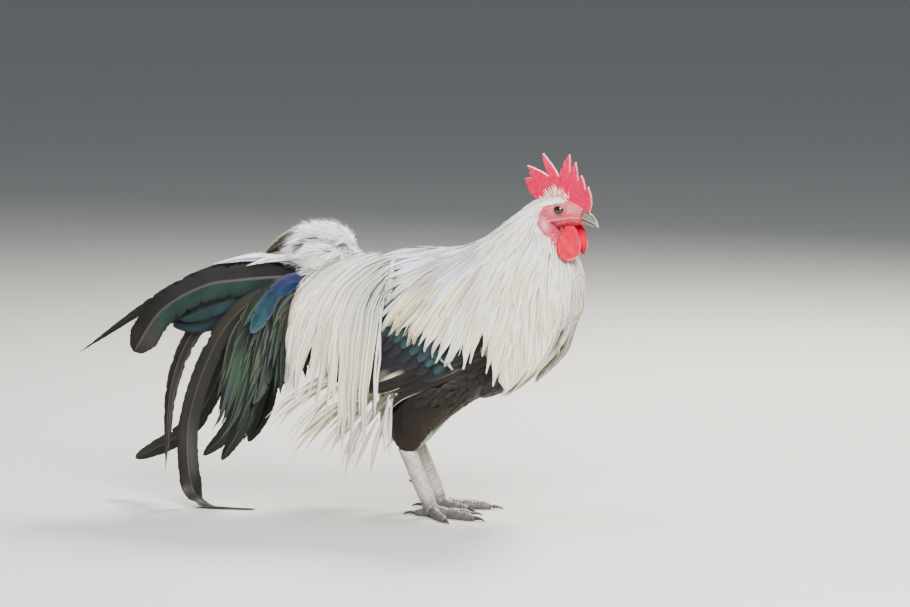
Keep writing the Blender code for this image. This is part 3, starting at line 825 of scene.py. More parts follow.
def walk(guide: Guide, roots: np.ndarray, flow: Flow, reach: float, step: float = STEP, fall: float = 0.16,
         rim: float | np.ndarray = RIM, under: float = NEVER) -> tuple[np.ndarray, np.ndarray, np.ndarray]:
    """Follows a flow over a surface, and falls freely where the surface turns away.

    Args:
        guide: the surface.
        roots: where each line starts.
        flow: gives the way to go from places and normals.
        reach: how far to go.
        step: length of a step.
        fall: how fast a free line turns down, for each step.
        rim: a line goes free where the normal agrees less than this with those before.
        under: and where the normal's height is less than this.

    Returns:
        Places and normals at each step, and the distance at which each line went free.
    """
    places, normals = guide.nearest(roots)
    count = int(round(reach / step)) + 1
    path, lie = [places], [normals]
    steady = normals.copy()
    way = flattened(flow(places, normals), normals)
    free = np.zeros(len(roots), bool)
    edge = np.full(len(roots), np.inf)
    for k in range(1, count):
        here = path[-1]
        wish = flattened(flow(here, lie[-1]), lie[-1])
        on = unit(way * INERTIA + wish * (1 - INERTIA))
        off = unit(way + np.array(DOWNWARD) * fall)
        way = np.where(free[:, None], off, on)
        ahead = here + way * step
        near, normal = guide.nearest(ahead)
        leaves = ~free & (((normal * steady).sum(1) < rim) | (normal[:, 2] < under)
                          | (guide.off_own(near) > STRAY))
        edge[leaves] = (k - 1) * step
        free |= leaves
        nxt = np.where(free[:, None], ahead, near)
        path.append(nxt)
        lie.append(np.where(free[:, None], flattened(lie[-1], way), normal))
        steady = np.where(free[:, None], steady, unit(steady * MEMORY + normal * (1 - MEMORY)))
    return np.stack(path, axis=1), np.stack(lie, axis=1), edge


def resampled(path: np.ndarray, normals: np.ndarray, lengths: np.ndarray, stations: int,
              step: float = STEP) -> Lines:
    """Reads each line at even stations along its own length.

    Args:
        path: places at every step of a walk.
        normals: normals at those places.
        lengths: the length that each line gets.
        stations: how many stations each line gets.
        step: the walk's step.

    Returns:
        The lines.
    """
    at = lengths[:, None] * np.linspace(0, 1, stations)[None] / step
    low = np.clip(at.astype(int), 0, path.shape[1] - 2)
    part = (at - low)[..., None]
    rows = np.arange(len(path))[:, None]
    places = path[rows, low] * (1 - part) + path[rows, low + 1] * part
    lie = unit(normals[rows, low] * (1 - part) + normals[rows, low + 1] * part)
    return Lines(places, lie, lengths, path[:, 0])


class Vane(Enum):
    """Outlines of a vane."""

    LANCE = "long and pointed"
    RIBBON = "even, with a long point"
    ROUND = "rounded at the tip"
    PLUME = "soft and loose"


def vane_width(shape: Vane, share: np.ndarray) -> np.ndarray:
    """Half width of a vane along it, against its greatest.

    Args:
        shape: the kind of outline.
        share: share of the way from root to tip.

    Returns:
        Values from 0 to 1.
    """
    if shape is Vane.LANCE:
        swell = 0.35 + 0.65 * smoothstep(0, 0.4, share)
        return np.clip(swell * (1 - smoothstep(0.5, 1.02, share) * 0.97), 0.03, 1)
    if shape is Vane.RIBBON:
        swell = 0.4 + 0.6 * smoothstep(0, 0.15, share)
        return np.clip(swell * (1 - smoothstep(0.72, 1.03, share) * 0.97), 0.04, 1)
    if shape is Vane.ROUND:
        swell = 0.5 + 0.5 * smoothstep(0, 0.35, share)
        left = np.clip((share - 0.55) / 0.45, 0, 1)
        return np.clip(swell * np.sqrt(np.maximum(1 - left**2.4, 0)), 0.12, 1)
    return np.clip(np.sin(np.pi * np.clip(share * 0.92 + 0.06, 0, 1)) ** 0.7, 0.08, 1)


@dataclass
class Coat:
    """Joined vanes that make one piece."""

    name: str
    finish: Material
    points: list[np.ndarray] = field(default_factory=list)
    faces: list[np.ndarray] = field(default_factory=list)
    tints: list[np.ndarray] = field(default_factory=list)
    vane_map: list[np.ndarray] = field(default_factory=list)
    bake_map: list[np.ndarray] = field(default_factory=list)
    count: int = 0

    def add(self, lines: Lines, widths: np.ndarray, shape: Vane, columns: int, crown: float,
            tint: Paint, roll: np.ndarray | float = 0.0) -> None:
        """Adds one vane for each line.

        Args:
            lines: the shafts.
            widths: full width of each vane.
            shape: its outline.
            columns: corners across a vane.
            crown: how far the edges droop below the shaft, against the half width.
            tint: gives linear colours from the share across, -1 to 1, and the share along, as fields of
                vanes by stations by columns.
            roll: turn of each vane about its shaft, in radians.
        """
        if not len(lines.places):
            return
        share = lines.share
        across = np.linspace(-1, 1, columns)
        way = unit(np.gradient(lines.places, axis=1))
        side = unit(np.cross(way, lines.normals))
        up = np.cross(side, way)
        turn = lines.each(roll)[:, None, None]
        side, up = side * np.cos(turn) + up * np.sin(turn), up * np.cos(turn) - side * np.sin(turn)
        half = widths[:, None] / 2 * vane_width(shape, share)[None]
        reach = half[..., None] * across
        drop = half[..., None] * crown * np.abs(across) ** 1.6
        grid = lines.places[:, :, None] + side[:, :, None] * reach[..., None]
        self.lay(lines, grid - up[:, :, None] * drop[..., None], reach, across, tint)

    def lay(self, lines: Lines, grid: np.ndarray, reach: np.ndarray, across: np.ndarray, tint: Paint) -> None:
        """Joins the corners of vanes with faces, and gives them their colours and maps.

        Args:
            lines: the shafts.
            grid: the corners, as vanes by stations by columns.
            reach: distance of each corner from its shaft, in millimetres.
            across: share across of each column, -1 to 1.
            tint: as in add.
        """
        shape = reach.shape
        numbers = np.arange(reach.size).reshape(shape) + self.count
        rings = numbers[:, :-1, :-1], numbers[:, :-1, 1:], numbers[:, 1:, 1:], numbers[:, 1:, :-1]
        wide = np.broadcast_to(across, shape)
        long = np.broadcast_to(lines.share[None, :, None], shape)
        self.points.append(grid.reshape(-1, 3))
        self.faces.append(np.stack(rings, axis=-1).reshape(-1, 4))
        self.tints.append(np.broadcast_to(tint(wide, long), (*shape, 3)).reshape(-1, 3).copy())
        along = lines.lengths[:, None, None] * long
        self.vane_map.append(np.stack([reach, along], axis=-1).reshape(-1, 2))
        patch = np.stack([wide, long * 2 - 1], axis=-1) * (UNWRAP.patch / 2)
        self.bake_map.append((UNWRAP.places(lines.roots)[:, None, None] + patch).reshape(-1, 2))
        self.count += reach.size

    def add_plume(self, line: Lines, widths: np.ndarray, columns: int, crown: float, tint: Paint) -> None:
        """Adds one large vane whose width is given at every station.

        Its barbs slant toward the tip, and a ridge along the middle is the shaft.

        Args:
            line: the shaft.
            widths: full width at each station.
            columns: corners across.
            crown: how far the edges droop, against the half width.
            tint: as in add.
        """
        stations = line.places.shape[1]
        across = bulged(np.linspace(-1, 1, columns), 1.15)
        places, normals = line.places[0], line.normals[0]
        way = unit(np.gradient(places, axis=0))
        side = unit(np.cross(way, normals))
        up = np.cross(side, way)
        half = widths / 2
        reach = half[:, None] * across
        gap = line.lengths[0] / (stations - 1)
        slant = np.minimum(0.55 * np.abs(reach), (stations - 1 - np.arange(stations))[:, None] * gap)
        slant *= (1 - smoothstep(0.7, 0.98, line.share))[:, None]
        rise = 0.5 * bell(reach, 0.7) - half[:, None] * crown * np.abs(across) ** 1.6
        grid = (places[:, None] + side[:, None] * reach[..., None] + way[:, None] * slant[..., None]
                + up[:, None] * rise[..., None])
        grid[..., 2] = np.maximum(grid[..., 2], 0.3)
        self.lay(line, grid[None], reach[None], across, tint)

    def build(self, slot: str, *nodes: str) -> Object:
        """Makes the piece.

        Args:
            slot: the record's material slot; it is not used.
            nodes: CAD nodes that it stands for.

        Returns:
            The object.
        """
        obj = new_piece(self.name, np.concatenate(self.points), np.concatenate(self.faces), self.finish)
        set_tint(obj, np.concatenate(self.tints))
        set_map(obj, "OFBake", np.concatenate(self.bake_map))
        set_map(obj, "vane", np.concatenate(self.vane_map))
        if nodes:
            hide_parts(*nodes)
        LOG.info("%s: %d corners, %d triangles", self.name, self.count, 2 * sum(len(f) for f in self.faces))
        return obj


# Plumage


@dataclass(frozen=True)
class Plumage:
    """Colours of a silver duckwing cock."""

    white: str = "#FBF8EF"
    cream: str = "#EEDCB0"
    # A blue-grey painted into white feathers as shade under a blue sky, not a colour of the feathers
    sky_shade: str = "#CDDAF1"
    black: str = "#171513"
    brown: str = "#262019"
    belly: str = "#37291F"


COLOURS = Plumage()


def with_painted_shade(base: np.ndarray, edge: float, root: float) -> Paint:
    """Spreads one colour of a vane over its corners, with painted shade that dims the edges and the root.

    Args:
        base: one linear colour for each vane.
        edge: how much painted shade dims the edges.
        root: how much painted shade dims the root.

    Returns:
        A function of the shares across and along.
    """

    def paint(wide: np.ndarray, long: np.ndarray) -> np.ndarray:
        """A colour for each corner."""
        # Painted shade: darker toward the edges and the root, where vanes overlap
        dim = (1 - edge * np.abs(wide) ** 2) * (1 - root * (1 - smoothstep(0.0, 0.55, long)))
        return base[:, None, None, :] * dim[..., None]

    return paint


def blend_three(first: str, second: str, third: str, share: np.ndarray, other: np.ndarray) -> np.ndarray:
    """Blends a first colour with a second by one share, and that with a third by another."""
    return mix(mix(linear(first)[None], linear(second)[None], share), linear(third)[None], other)


@dataclass
class Hackle:
    """Long lance feathers that stream from the head over the neck and shoulders."""

    source: tuple[float, float, float] = (128.0, 0.0, 352.0)
    axis: tuple[float, float, float] = (-0.6, 0.0, -0.8)  # from the head to the middle of the cape
    longest: float = 112.0
    held: float = 75.0  # lines that start nearer to the head than this stay on the guide
    least_share: float = 0.4  # lines cut shorter than this share of their length are left out
    stations: int = 10
    # The furthest ahead that the lines may hang, by height
    chest: Pairs = ((140, 84), (147, 92), (180, 131), (222, 149))
    # Lowest height of the tips at each distance ahead, with a notch before the front locks
    hem: Pairs = (
        (-40, 212), (-23, 207), (-4, 201), (12, 188), (24, 175), (44, 178), (58, 181), (67, 200), (74, 172),
        (83, 150), (95, 146), (104, 152), (123, 160), (138, 176), (150, 194))
    # Height under which the locks part beside the breast's middle, by distance aside
    parting: Pairs = ((5, 120), (9, 185), (17, 224), (31, 216), (44, 170), (52, 120))
    seed: int = 11

    def radius(self, places: np.ndarray) -> np.ndarray:
        """Distance from where the lines start."""
        return np.linalg.norm(places - np.array(self.source), axis=-1)

    def flow(self, places: np.ndarray, normals: np.ndarray) -> np.ndarray:
        """Away from the head, turning down with distance."""
        away = places - np.array(self.source)
        far = np.linalg.norm(away, axis=1, keepdims=True)
        sway = 0.12 * ripple(places, 60.0, 5) + 0.1 * ripple(places, 17.0, 9)
        swing = sway[:, None] * np.array([1.0, 0.0, 0.0])
        behind = smoothstep(85, 10, places[:, :1])
        drop = (0.1 + 0.7 * smoothstep(60, 170, far)) * (1 - 0.75 * behind)
        return away / far + swing + np.array(DOWNWARD) * drop

    def feathered(self, places: np.ndarray) -> np.ndarray:
        """Whether each place is behind the bare face."""
        straight = STANCE.turned(places, back=True)
        return straight[:, 0] < looked_up(places[:, 2], FACE_LINE)

    def below_hem(self, places: np.ndarray, slack: float | np.ndarray = 0.0) -> np.ndarray:
        """Whether places are lower than the tips may hang."""
        hem = looked_up(places[..., 0], self.hem)
        parted = looked_up(np.abs(places[..., 1]), self.parting)
        return places[..., 2] < np.maximum(hem, np.where(places[..., 0] > 92, parted, 0)) + slack

    def spacing(self, places: np.ndarray, normals: np.ndarray) -> np.ndarray:
        """Distance between roots: small by the head, wider below."""
        far = self.radius(places)
        gap = np.interp(far, (0, 20, 45, 90, 140), (1.1, 1.5, 2.6, 3.9, 4.4))
        hidden = (normals @ np.array(self.axis)) > 0.8
        facing = (normals[:, 2] > -0.4) | (places[:, 2] > 270)
        return np.where(self.feathered(places) & facing & ~hidden, gap * 0.86, 0.0)

    @staticmethod
    def astray(roots: np.ndarray, lines: Lines) -> np.ndarray:
        """Whether lines go another way than those about them: ahead, straight down, or over the face."""
        x, z = roots[:, 0], roots[:, 2]
        travel = unit(lines.places[:, -1] - lines.places[:, 0])
        end = unit(lines.places[:, -1] - lines.places[:, -3])
        astray = (x < 84) & (travel[:, 0] > 0.22)
        astray |= (x < 25) & (z > 240) & (end[:, 2] < -0.93)
        astray |= (x > 108) & (z > 326) & (travel[:, 0] > -0.25)
        return astray | (x > 122) & (z < 326) & (travel[:, 2] > -0.7)

    def colours(self, lines: Lines) -> np.ndarray:
        """White with cream feathers among the rest, a blue-grey painted shade on many, more of it high at the
        rear, and painted shade on some further back.
        """
        rng = np.random.default_rng(self.seed)
        middle = lines.middles
        x, z = middle[:, 0], middle[:, 2]
        warm = 0.28 + 0.36 * ripple(middle, 38, 21) + rng.normal(0, 0.2, len(middle))
        warm += 0.9 * smoothstep(48, 0, x) * smoothstep(258, 228, z)
        warm += 0.3 * smoothstep(50, 100, x) * smoothstep(285, 235, z)
        warm *= smoothstep(18, 60, self.radius(middle))
        # Painted shade: a blue-grey share on many feathers, more of it high at the rear
        sky_shade_share = 0.25 + 0.6 * smoothstep(90, 20, x) * smoothstep(240, 280, z)
        sky_shade_share += rng.normal(0, 0.12, len(middle))
        base = blend_three(COLOURS.white, COLOURS.cream, COLOURS.sky_shade, np.clip(warm, 0, 0.9),
                           np.clip(sky_shade_share * (1 - warm), 0, 0.8))
        # Painted shade: some feathers at the rear are darkened to a grey-blue
        shade = (rng.random(len(middle)) < 0.22) * smoothstep(70, 25, x) * smoothstep(205, 230, z)
        base = mix(base, base * linear("#A9B2C4"), shade * 0.8)
        return base * rng.uniform(0.8, 1.05, len(base))[:, None]

    def build(self, guide: Guide, finish: Material) -> None:
        """Grows the hackle, as one piece for each side.

        Args:
            guide: outer surface of the head, neck and cape.
            finish: white feather.
        """
        rng = np.random.default_rng(self.seed)
        roots = guide.scatter(self.spacing, self.seed)
        rim = np.where(self.radius(roots) < self.held, NEVER, RIM)
        path, lie, edge = walk(guide, roots, self.flow, self.longest + 20, fall=0.05, rim=rim)
        far = self.radius(roots)
        wanted = np.clip(9 + 0.82 * far, 12, self.longest) * rng.uniform(0.82, 1.12, len(roots))
        allowed = edge + rng.uniform(-3, 8, len(roots))
        rear = smoothstep(60, 0, roots[:, 0])
        allowed += rear * (22 * smoothstep(212, 238, roots[:, 2]) + 20 * smoothstep(268, 290, roots[:, 2]))
        over = np.maximum(path[..., 0] - looked_up(path[..., 2], self.chest), 0)
        top = self.chest[-1][0]
        path[..., 0] -= 0.85 * over * smoothstep(top + 12, top - 4, path[..., 2])
        low = self.below_hem(path, rng.uniform(-4, 4, (len(roots), 1)))
        allowed = np.minimum(allowed, np.where(low.any(axis=1), low.argmax(axis=1) * STEP, np.inf))
        lengths = np.minimum(wanted, allowed)
        lines = resampled(path, lie, lengths, self.stations)
        lines = lines.picked((lengths > self.least_share * wanted) & ~self.astray(roots, lines))
        small = smoothstep(22, 84, self.radius(lines.roots))
        layer = np.random.default_rng(self.seed + 1).uniform(-1.0, 1.0, len(small))
        over = 4.0 * smoothstep(80, 50, lines.roots[:, 0]) + 4.5 * smoothstep(35, -5, lines.roots[:, 0])
        lines = lines.lifted(-0.1 - 3.4 * small + over + layer * small,
                             1.7 - 1.2 * small + over + 1.3 * layer * small, 0.8)
        lines = lines.gathered(9.0, 0.85, 0.36, self.seed)
        widths = (1.4 + 3.0 * small) * rng.uniform(0.7, 1.25, len(lines.places))
        roll = rng.normal(0, 0.25, len(lines.places))
        colours = self.colours(lines)
        for side_name, side in SIDES:
            mine = lines.roots[:, 1] * side > 0 if side > 0 else lines.roots[:, 1] <= 0
            coat = Coat("hackle_" + side_name, finish)
            # The vanes get painted shade at their edges and roots
            coat.add(lines.picked(mine), widths[mine], Vane.LANCE, 5, 0.42,
                     with_painted_shade(colours[mine], 0.5, 0.35), roll[mine])
            coat.build("white_feather", *(("hackle_cape",) if side < 0 else ()))


@dataclass
class Saddle:
    """Long ribbon feathers that pour from the back over both flanks."""

    front: float = -26.0
    back: float = -152.0
    lowest_root: float = 238.0
    rear_edge: float = -148.0
    front_edge: float = -42.0
    hem: Pairs = (
        (-160, 150), (-140, 142), (-118, 134), (-104, 118), (-94, 84), (-76, 78), (-62, 96), (-50, 132))
    longest: float = 245.0
    shortest: float = 45.0
    stations: int = 18
    seed: int = 31
    # Locks that flare backward under the hem, each side: root as x and height, way down and back in
    # degrees below level, length.
    flares: tuple[tuple[float, float, float, float], ...] = (
        (-92, 170, 38, 118), (-84, 152, 42, 104), (-78, 138, 46, 96), (-70, 128, 50, 80), (-62, 122, 62, 74),
        (-100, 160, 30, 104), (-88, 132, 36, 84), (-56, 118, 74, 72), (-44, 120, 82, 70), (-40, 140, 96, 66))

    def flow(self, places: np.ndarray, normals: np.ndarray) -> np.ndarray:
        """Backward and outward on the back, then straight down the flanks."""
        top = smoothstep(0.15, 0.97, normals[:, 2])[:, None]
        side = np.sign(places[:, 1:2])
        level = np.concatenate([np.full_like(side, -0.9), side * 0.9, np.full_like(side, -0.2)], axis=1)
        lean = ripple(places, 45.0, 8)[:, None] * 0.1 - 0.08
        lean = lean - 0.25 * smoothstep(-90, -150, places[:, :1])
        down = np.concatenate([lean, np.zeros_like(side), -np.ones_like(side)], axis=1)
        return level * top + down * (1 - top)

    def spacing(self, places: np.ndarray, normals: np.ndarray) -> np.ndarray:
        """Roots lie over the back."""
        inside = (places[:, 0] < self.front) & (places[:, 0] > self.back) & (normals[:, 2] > -0.1)
        inside &= normals[:, 0] < 0.6
        high = places[:, 2] > self.lowest_root
        return np.where(inside & high, np.interp(places[:, 2], (240, 280), (5.2, 4.0)), 0.0)

    def tint(self, lines: Lines, seed: int) -> Paint:
        """Ivory, with a blue-grey painted shade along the back, and creamier below."""
        rng = np.random.default_rng(seed)
        middle = lines.middles
        warm = np.clip(0.72 + 0.25 * ripple(middle, 30, 22) + rng.normal(0, 0.22, len(middle)), 0, 0.95)
        # Painted shade: a random blue-grey share on some feathers
        sky_shade_share = np.clip(0.15 + rng.normal(0, 0.15, len(middle)), 0, 0.5)
        base = blend_three(COLOURS.white, COLOURS.cream, COLOURS.sky_shade, warm, sky_shade_share)
        base = base * rng.uniform(0.72, 1.05, len(base))[:, None]

        def paint(wide: np.ndarray, long: np.ndarray) -> np.ndarray:
            """Painted blue-grey shade at the root on the back, ivory below."""
            # Painted shade at the edges and the root
            flat = with_painted_shade(base, 0.5, 0.15)(wide, long)
            # Painted shade: blue-grey toward the root, on the back
            sky_shade = flat * (linear(COLOURS.sky_shade) / linear(COLOURS.white))
            return mix(flat, sky_shade, 0.7 * (1 - smoothstep(0.1, 0.5, long)))

        return paint

    def flare_lines(self, side: float) -> Lines:
        """Free locks under the hem, as curves that sweep back and level out."""
        rng = np.random.default_rng(self.seed + int(side))
        places, lengths = [], []
        share = np.linspace(0, 1, 14)
        for x, z, below, length in self.flares:
            for _ in range(2):
                start = math.radians(below + rng.uniform(-5, 5))
                turn = math.radians(-26 if below < 70 else -8) * share
                angle = start - turn - math.radians(12)
                reach = length * rng.uniform(0.9, 1.12)
                step = reach / (len(share) - 1)
                dx = np.concatenate([[0], -np.cos(angle[1:]) * step]).cumsum()
                dz = np.concatenate([[0], -np.sin(angle[1:]) * step]).cumsum()
                y = side * (72 + rng.uniform(-4, 6) + 6 * share - 10 * share**2)
                places.append(np.column_stack([x + rng.uniform(-5, 5) + dx, y, z + rng.uniform(-6, 6) + dz]))
                lengths.append(reach)
        line = np.stack(places)
        out = np.broadcast_to(np.array([0.0, side, 0.15]), line.shape)
        return Lines(line, unit(out), np.array(lengths), line[:, 0])

    def build(self, guide: Guide, finish: Material) -> Object:
        """Grows the saddle.

        Args:
            guide: outer surface of the back and the two saddle sheets.
            finish: white feather.

        Returns:
            The piece.
        """
        rng = np.random.default_rng(self.seed)
        roots = guide.scatter(self.spacing, self.seed)
        path, lie, edge = walk(guide, roots, self.flow, self.longest + 15, fall=0.1, under=-0.35)
        front = self.front_edge + rng.uniform(-7, 9, (len(roots), 1))
        path[..., 0] -= 0.85 * np.maximum(path[..., 0] - front, 0) * smoothstep(278, 250, path[..., 2])
        rear = self.rear_edge + rng.uniform(-9, 9, (len(roots), 1))
        path[..., 0] += 0.78 * np.maximum(rear - path[..., 0], 0)
        over = path[..., 2] < looked_up(path[..., 0], self.hem) + rng.uniform(-9, 9, (len(roots), 1))
        edge = np.minimum(edge, np.where(over.any(axis=1), over.argmax(axis=1) * STEP, self.longest))
        lengths = np.where(rng.random(len(roots)) < 0.6, edge + rng.uniform(-8, 12, len(roots)),
                           edge * rng.uniform(0.4, 0.95, len(roots)))
        lines = resampled(path, lie, lengths, self.stations)
        thin = (roots[:, 0] < -112) & (roots[:, 2] < 266) & (rng.random(len(roots)) < 0.5)
        lines = lines.picked((lengths > self.shortest) & ~thin)
        layer = rng.uniform(-1, 1, len(lines.places))
        tuck = 3.5 * smoothstep(-62, -40, lines.roots[:, 0])
        lines = lines.lifted(-1.5 + layer - tuck, 0.2 + 2.2 * layer, 0.7).gathered(10.0, 0.86, 0.3, self.seed)
        coat = Coat("saddle", finish)
        widths = rng.uniform(2.6, 5.0, len(lines.places))
        coat.add(lines, widths, Vane.RIBBON, 5, 0.4, self.tint(lines, 5), rng.normal(0, 0.3, len(widths)))
        for _, side in SIDES:
            flare = self.flare_lines(side)
            widths = rng.uniform(4.2, 6.8, len(flare.places))
            coat.add(flare, widths, Vane.LANCE, 5, 0.35, self.tint(flare, 6), rng.normal(0, 0.3, len(widths)))
        return coat.build("white_feather", "saddle_right", "saddle_left")


@dataclass
class Rump:
    """Soft white fluff over the root of the tail."""

    middle: tuple[float, float, float] = (-137.0, 0.0, 296.0)
    # Line of the crease between the tuft's two lobes, as x and height, where a shadow is painted
    crease: Pairs = ((-170, 289), (-163, 296), (-154, 304), (-137, 311), (-114, 307), (-100, 297))
    seed: int = 51

    def creased(self, places: np.ndarray) -> np.ndarray:
        """How near places are to the crease between the tuft's two lobes, from 0 to 1."""
        line = smooth_rows(self.crease, 60)
        away = np.linalg.norm(places[:, None, (0, 2)] - line[None], axis=2).min(axis=1)
        return bell(away, 3.6) * smoothstep(4, 12, np.abs(places[:, 1]))

    def flow(self, places: np.ndarray, normals: np.ndarray) -> np.ndarray:
        """Backward and outward, ruffled."""
        side = np.sign(places[:, 1:2])
        ruffle = np.stack([ripple(places, 14.0, k) for k in (3, 4, 6)], axis=1) * 0.55
        ways = [np.full_like(side, -1.0), side * 0.25, np.full_like(side, -0.35)]
        return np.concatenate(ways, axis=1) + ruffle

    def spacing(self, places: np.ndarray, normals: np.ndarray) -> np.ndarray:
        """Roots cover the tuft."""
        away = np.linalg.norm((places - np.array(self.middle)) / np.array([46.0, 37.0, 36.0]), axis=1)
        return np.where((away < 1.0) & (places[:, 2] > 262), 1.25, 0.0)

    def build(self, guide: Guide, finish: Material) -> Object:
        """Grows the fluff.

        Args:
            guide: outer surface of the rump.
            finish: white down.

        Returns:
            The piece.
        """
        rng = np.random.default_rng(self.seed)
        roots = guide.scatter(self.spacing, self.seed)
        path, lie, _ = walk(guide, roots, self.flow, 35, step=3.0, rim=NEVER)
        valley = self.creased(roots)
        lengths = rng.uniform(8, 21, len(roots)) * (1 - 0.6 * valley)
        lines = resampled(path, lie, lengths, 6, step=3.0)
        lines = lines.lifted(-2.5, rng.uniform(-1.0, 4.5, len(roots)), 1.3)
        lines = lines.gathered(2.4, 0.85, 0.3, self.seed)
        # Painted shade: a little blue-grey on some of the fluff
        base = blend_three("#FDFCFB", COLOURS.sky_shade, COLOURS.cream, rng.uniform(0, 0.35, len(roots)),
                           rng.uniform(0, 0.1, len(roots)))
        # Painted shadow: the fluff in the crease between the lobes is dark grey
        base = mix(base, linear("#2E2A28"), 0.95 * valley)
        coat = Coat("rump_fluff", finish)
        # Painted shade at the edges and roots of the fluff
        coat.add(lines, rng.uniform(0.7, 1.4, len(roots)), Vane.PLUME, 3, 0.3,
                 with_painted_shade(base, 0.1, 0.25), rng.normal(0, 0.5, len(roots)))
        wisps = resampled(path, lie, rng.uniform(9, 20, len(roots)), 6, step=3.0)
        rise = rng.uniform(3.5, 9.5, len(roots)) * (1 + 0.6 * smoothstep(-135, -165, roots[:, 0]))
        keep = rng.random(len(roots)) < 0.6 * (1 - 0.8 * valley)
        wisps = wisps.lifted(-1.0, rise, 1.5).picked(keep)
        pale = flood("#FBFAF8", (len(wisps.places), 3))
        # A little painted shade at the roots of the wisps
        coat.add(wisps, np.full(len(wisps.places), 0.42), Vane.LANCE, 3, 0.2,
                 with_painted_shade(pale, 0.0, 0.1))
        return coat.build("white_feather", "rump_tuft")


@dataclass
class BodyPlumage:
    """Short dark feathers of the breast, belly, flanks and thighs."""

    hidden_depth: float = 9.0  # feathers this far inside the hackle are left out
    hem_slack: float = 14.0  # except this far over the height where its tips end
    seed: int = 71

    def flow(self, places: np.ndarray, normals: np.ndarray) -> np.ndarray:
        """Backward on the trunk and down the thighs."""
        leg = smoothstep(150, 115, places[:, 2:3]) * smoothstep(75, 40, np.abs(places[:, :1]))
        trunk_way = np.array([-1.0, 0.0, -0.35])
        leg_way = np.array([-0.25, 0.0, -1.0])
        return trunk_way * (1 - leg) + leg_way * leg

    def build(self, guide: Guide, cover: Guide, finish: Material) -> Object:
        """Grows the body's feathers where the hackle leaves them showing.

        Args:
            guide: outer surface of the trunk, wings and thighs.
            cover: the hackle's surface.
            finish: dark feather.

        Returns:
            The piece.
        """
        rng = np.random.default_rng(self.seed)

        def spacing(places: np.ndarray, normals: np.ndarray) -> np.ndarray:
            """Even roots, finer down the thighs."""
            return np.interp(places[:, 2], (80, 110, 150), (2.6, 3.6, 4.6))

        roots = guide.scatter(spacing, self.seed, 4.0)
        bare = (cover.inside_by(roots) < self.hidden_depth) | Hackle().below_hem(roots, self.hem_slack)
        roots = roots[bare & ~Wing().zone(roots)]
        path, lie, _ = walk(guide, roots, self.flow, 26, step=4.0, rim=NEVER)
        size = np.interp(roots[:, 2], (80, 120, 160), (0.5, 0.72, 1.0))
        lengths = size * rng.uniform(15, 20, len(roots))
        lines = resampled(path, lie, lengths, 5, step=4.0)
        lines = lines.lifted(-1.6 * size, 0.35 + rng.uniform(-0.2, 0.5, len(roots)), 0.8)
        low = smoothstep(165, 120, roots[:, 2]) * smoothstep(-0.2, -0.9, lie[:, 0, 2])
        base = blend_three(COLOURS.black, COLOURS.brown, COLOURS.belly,
                           np.clip(0.35 + rng.normal(0, 0.25, len(roots)), 0, 1), np.clip(low, 0, 0.8))
        breast = smoothstep(88, 104, roots[:, 0]) * smoothstep(146, 160, roots[:, 2])
        # Beside its middle the breast keeps its black, which also serves as painted shade in the gap under
        # the hackle's two sides
        breast *= 0.05 + 0.95 * smoothstep(15, 10, np.abs(roots[:, 1]))
        hock = smoothstep(112, 102, roots[:, 2]) * smoothstep(0.6, 0.85, lie[:, 0, 0])
        base = mix(base, linear(COLOURS.white), np.maximum(breast, hock))
        coat = Coat("body_feathers", finish)
        # Painted shade at the edges and roots of the body's feathers
        coat.add(lines, size * rng.uniform(7, 9.5, len(roots)), Vane.ROUND, 3, 0.25,
                 with_painted_shade(base, 0.2, 0.35), rng.normal(0, 0.12, len(roots)))
        return coat.build("black_feather")


# Head and skin


@dataclass
class HeadForm:
    """Sizes of the straight head; it is turned to where it looks when it is placed."""

    # x, height of middle, half height, half width
    sections: tuple[tuple[float, ...], ...] = (
        (92, 327, 14, 13), (100, 332.5, 15.5, 16.5), (112, 339.5, 17, 18.8), (126, 342.5, 17, 19),
        (140, 343, 16, 17.5), (150, 342.5, 14.5, 15), (159, 341.5, 12, 12), (167.5, 340, 9, 8.5))
    eye: tuple[float, float, float] = (145.0, 12.5, 347.5)
    eye_radius: float = 7.2
    lid_radius: float = 8.3
    opening: tuple[float, float] = (5.6, 4.3)  # half length and half height between the lids
    upper_bill: tuple[tuple[float, ...], ...] = (
        (152, 345, 338, 6.5), (160, 347.5, 337.4, 6.8), (168, 347, 336.2, 6.2), (174.7, 344, 333.6, 5.2),
        (179.5, 340.6, 331.6, 3.8), (183.7, 334.8, 329.0, 2.2), (185.6, 329.4, 327.2, 0.9))
    lower_bill: tuple[tuple[float, ...], ...] = (
        (154, 337.4, 330, 6), (162, 336.8, 331, 5.4), (169, 335.6, 331, 4.4), (176, 332.6, 329.6, 3),
        (181, 330.2, 328.4, 1.4))
    corners: int = 48  # of each ring of the head's plain form
    rings: int = 44

    def placed_eye(self, side: float) -> np.ndarray:
        """Middle of an eye in the turned head."""
        x, y, z = self.eye
        return STANCE.turned(np.array([x, side * y, z]))

    def loft(self) -> Object:
        """The head's plain form, smooth and closed.

        Returns:
            A helper object.
        """
        c, s = circle(self.corners)
        power = 2 / 2.1
        up, out = bulged(c, power), bulged(s, power)
        rings = [np.column_stack([np.full(self.corners, x), wide * out, middle + tall * up])
                 for x, middle, tall, wide in smooth_rows(self.sections, self.rings)]
        return helper_loft("head_form", [STANCE.turned(r) for r in rings])


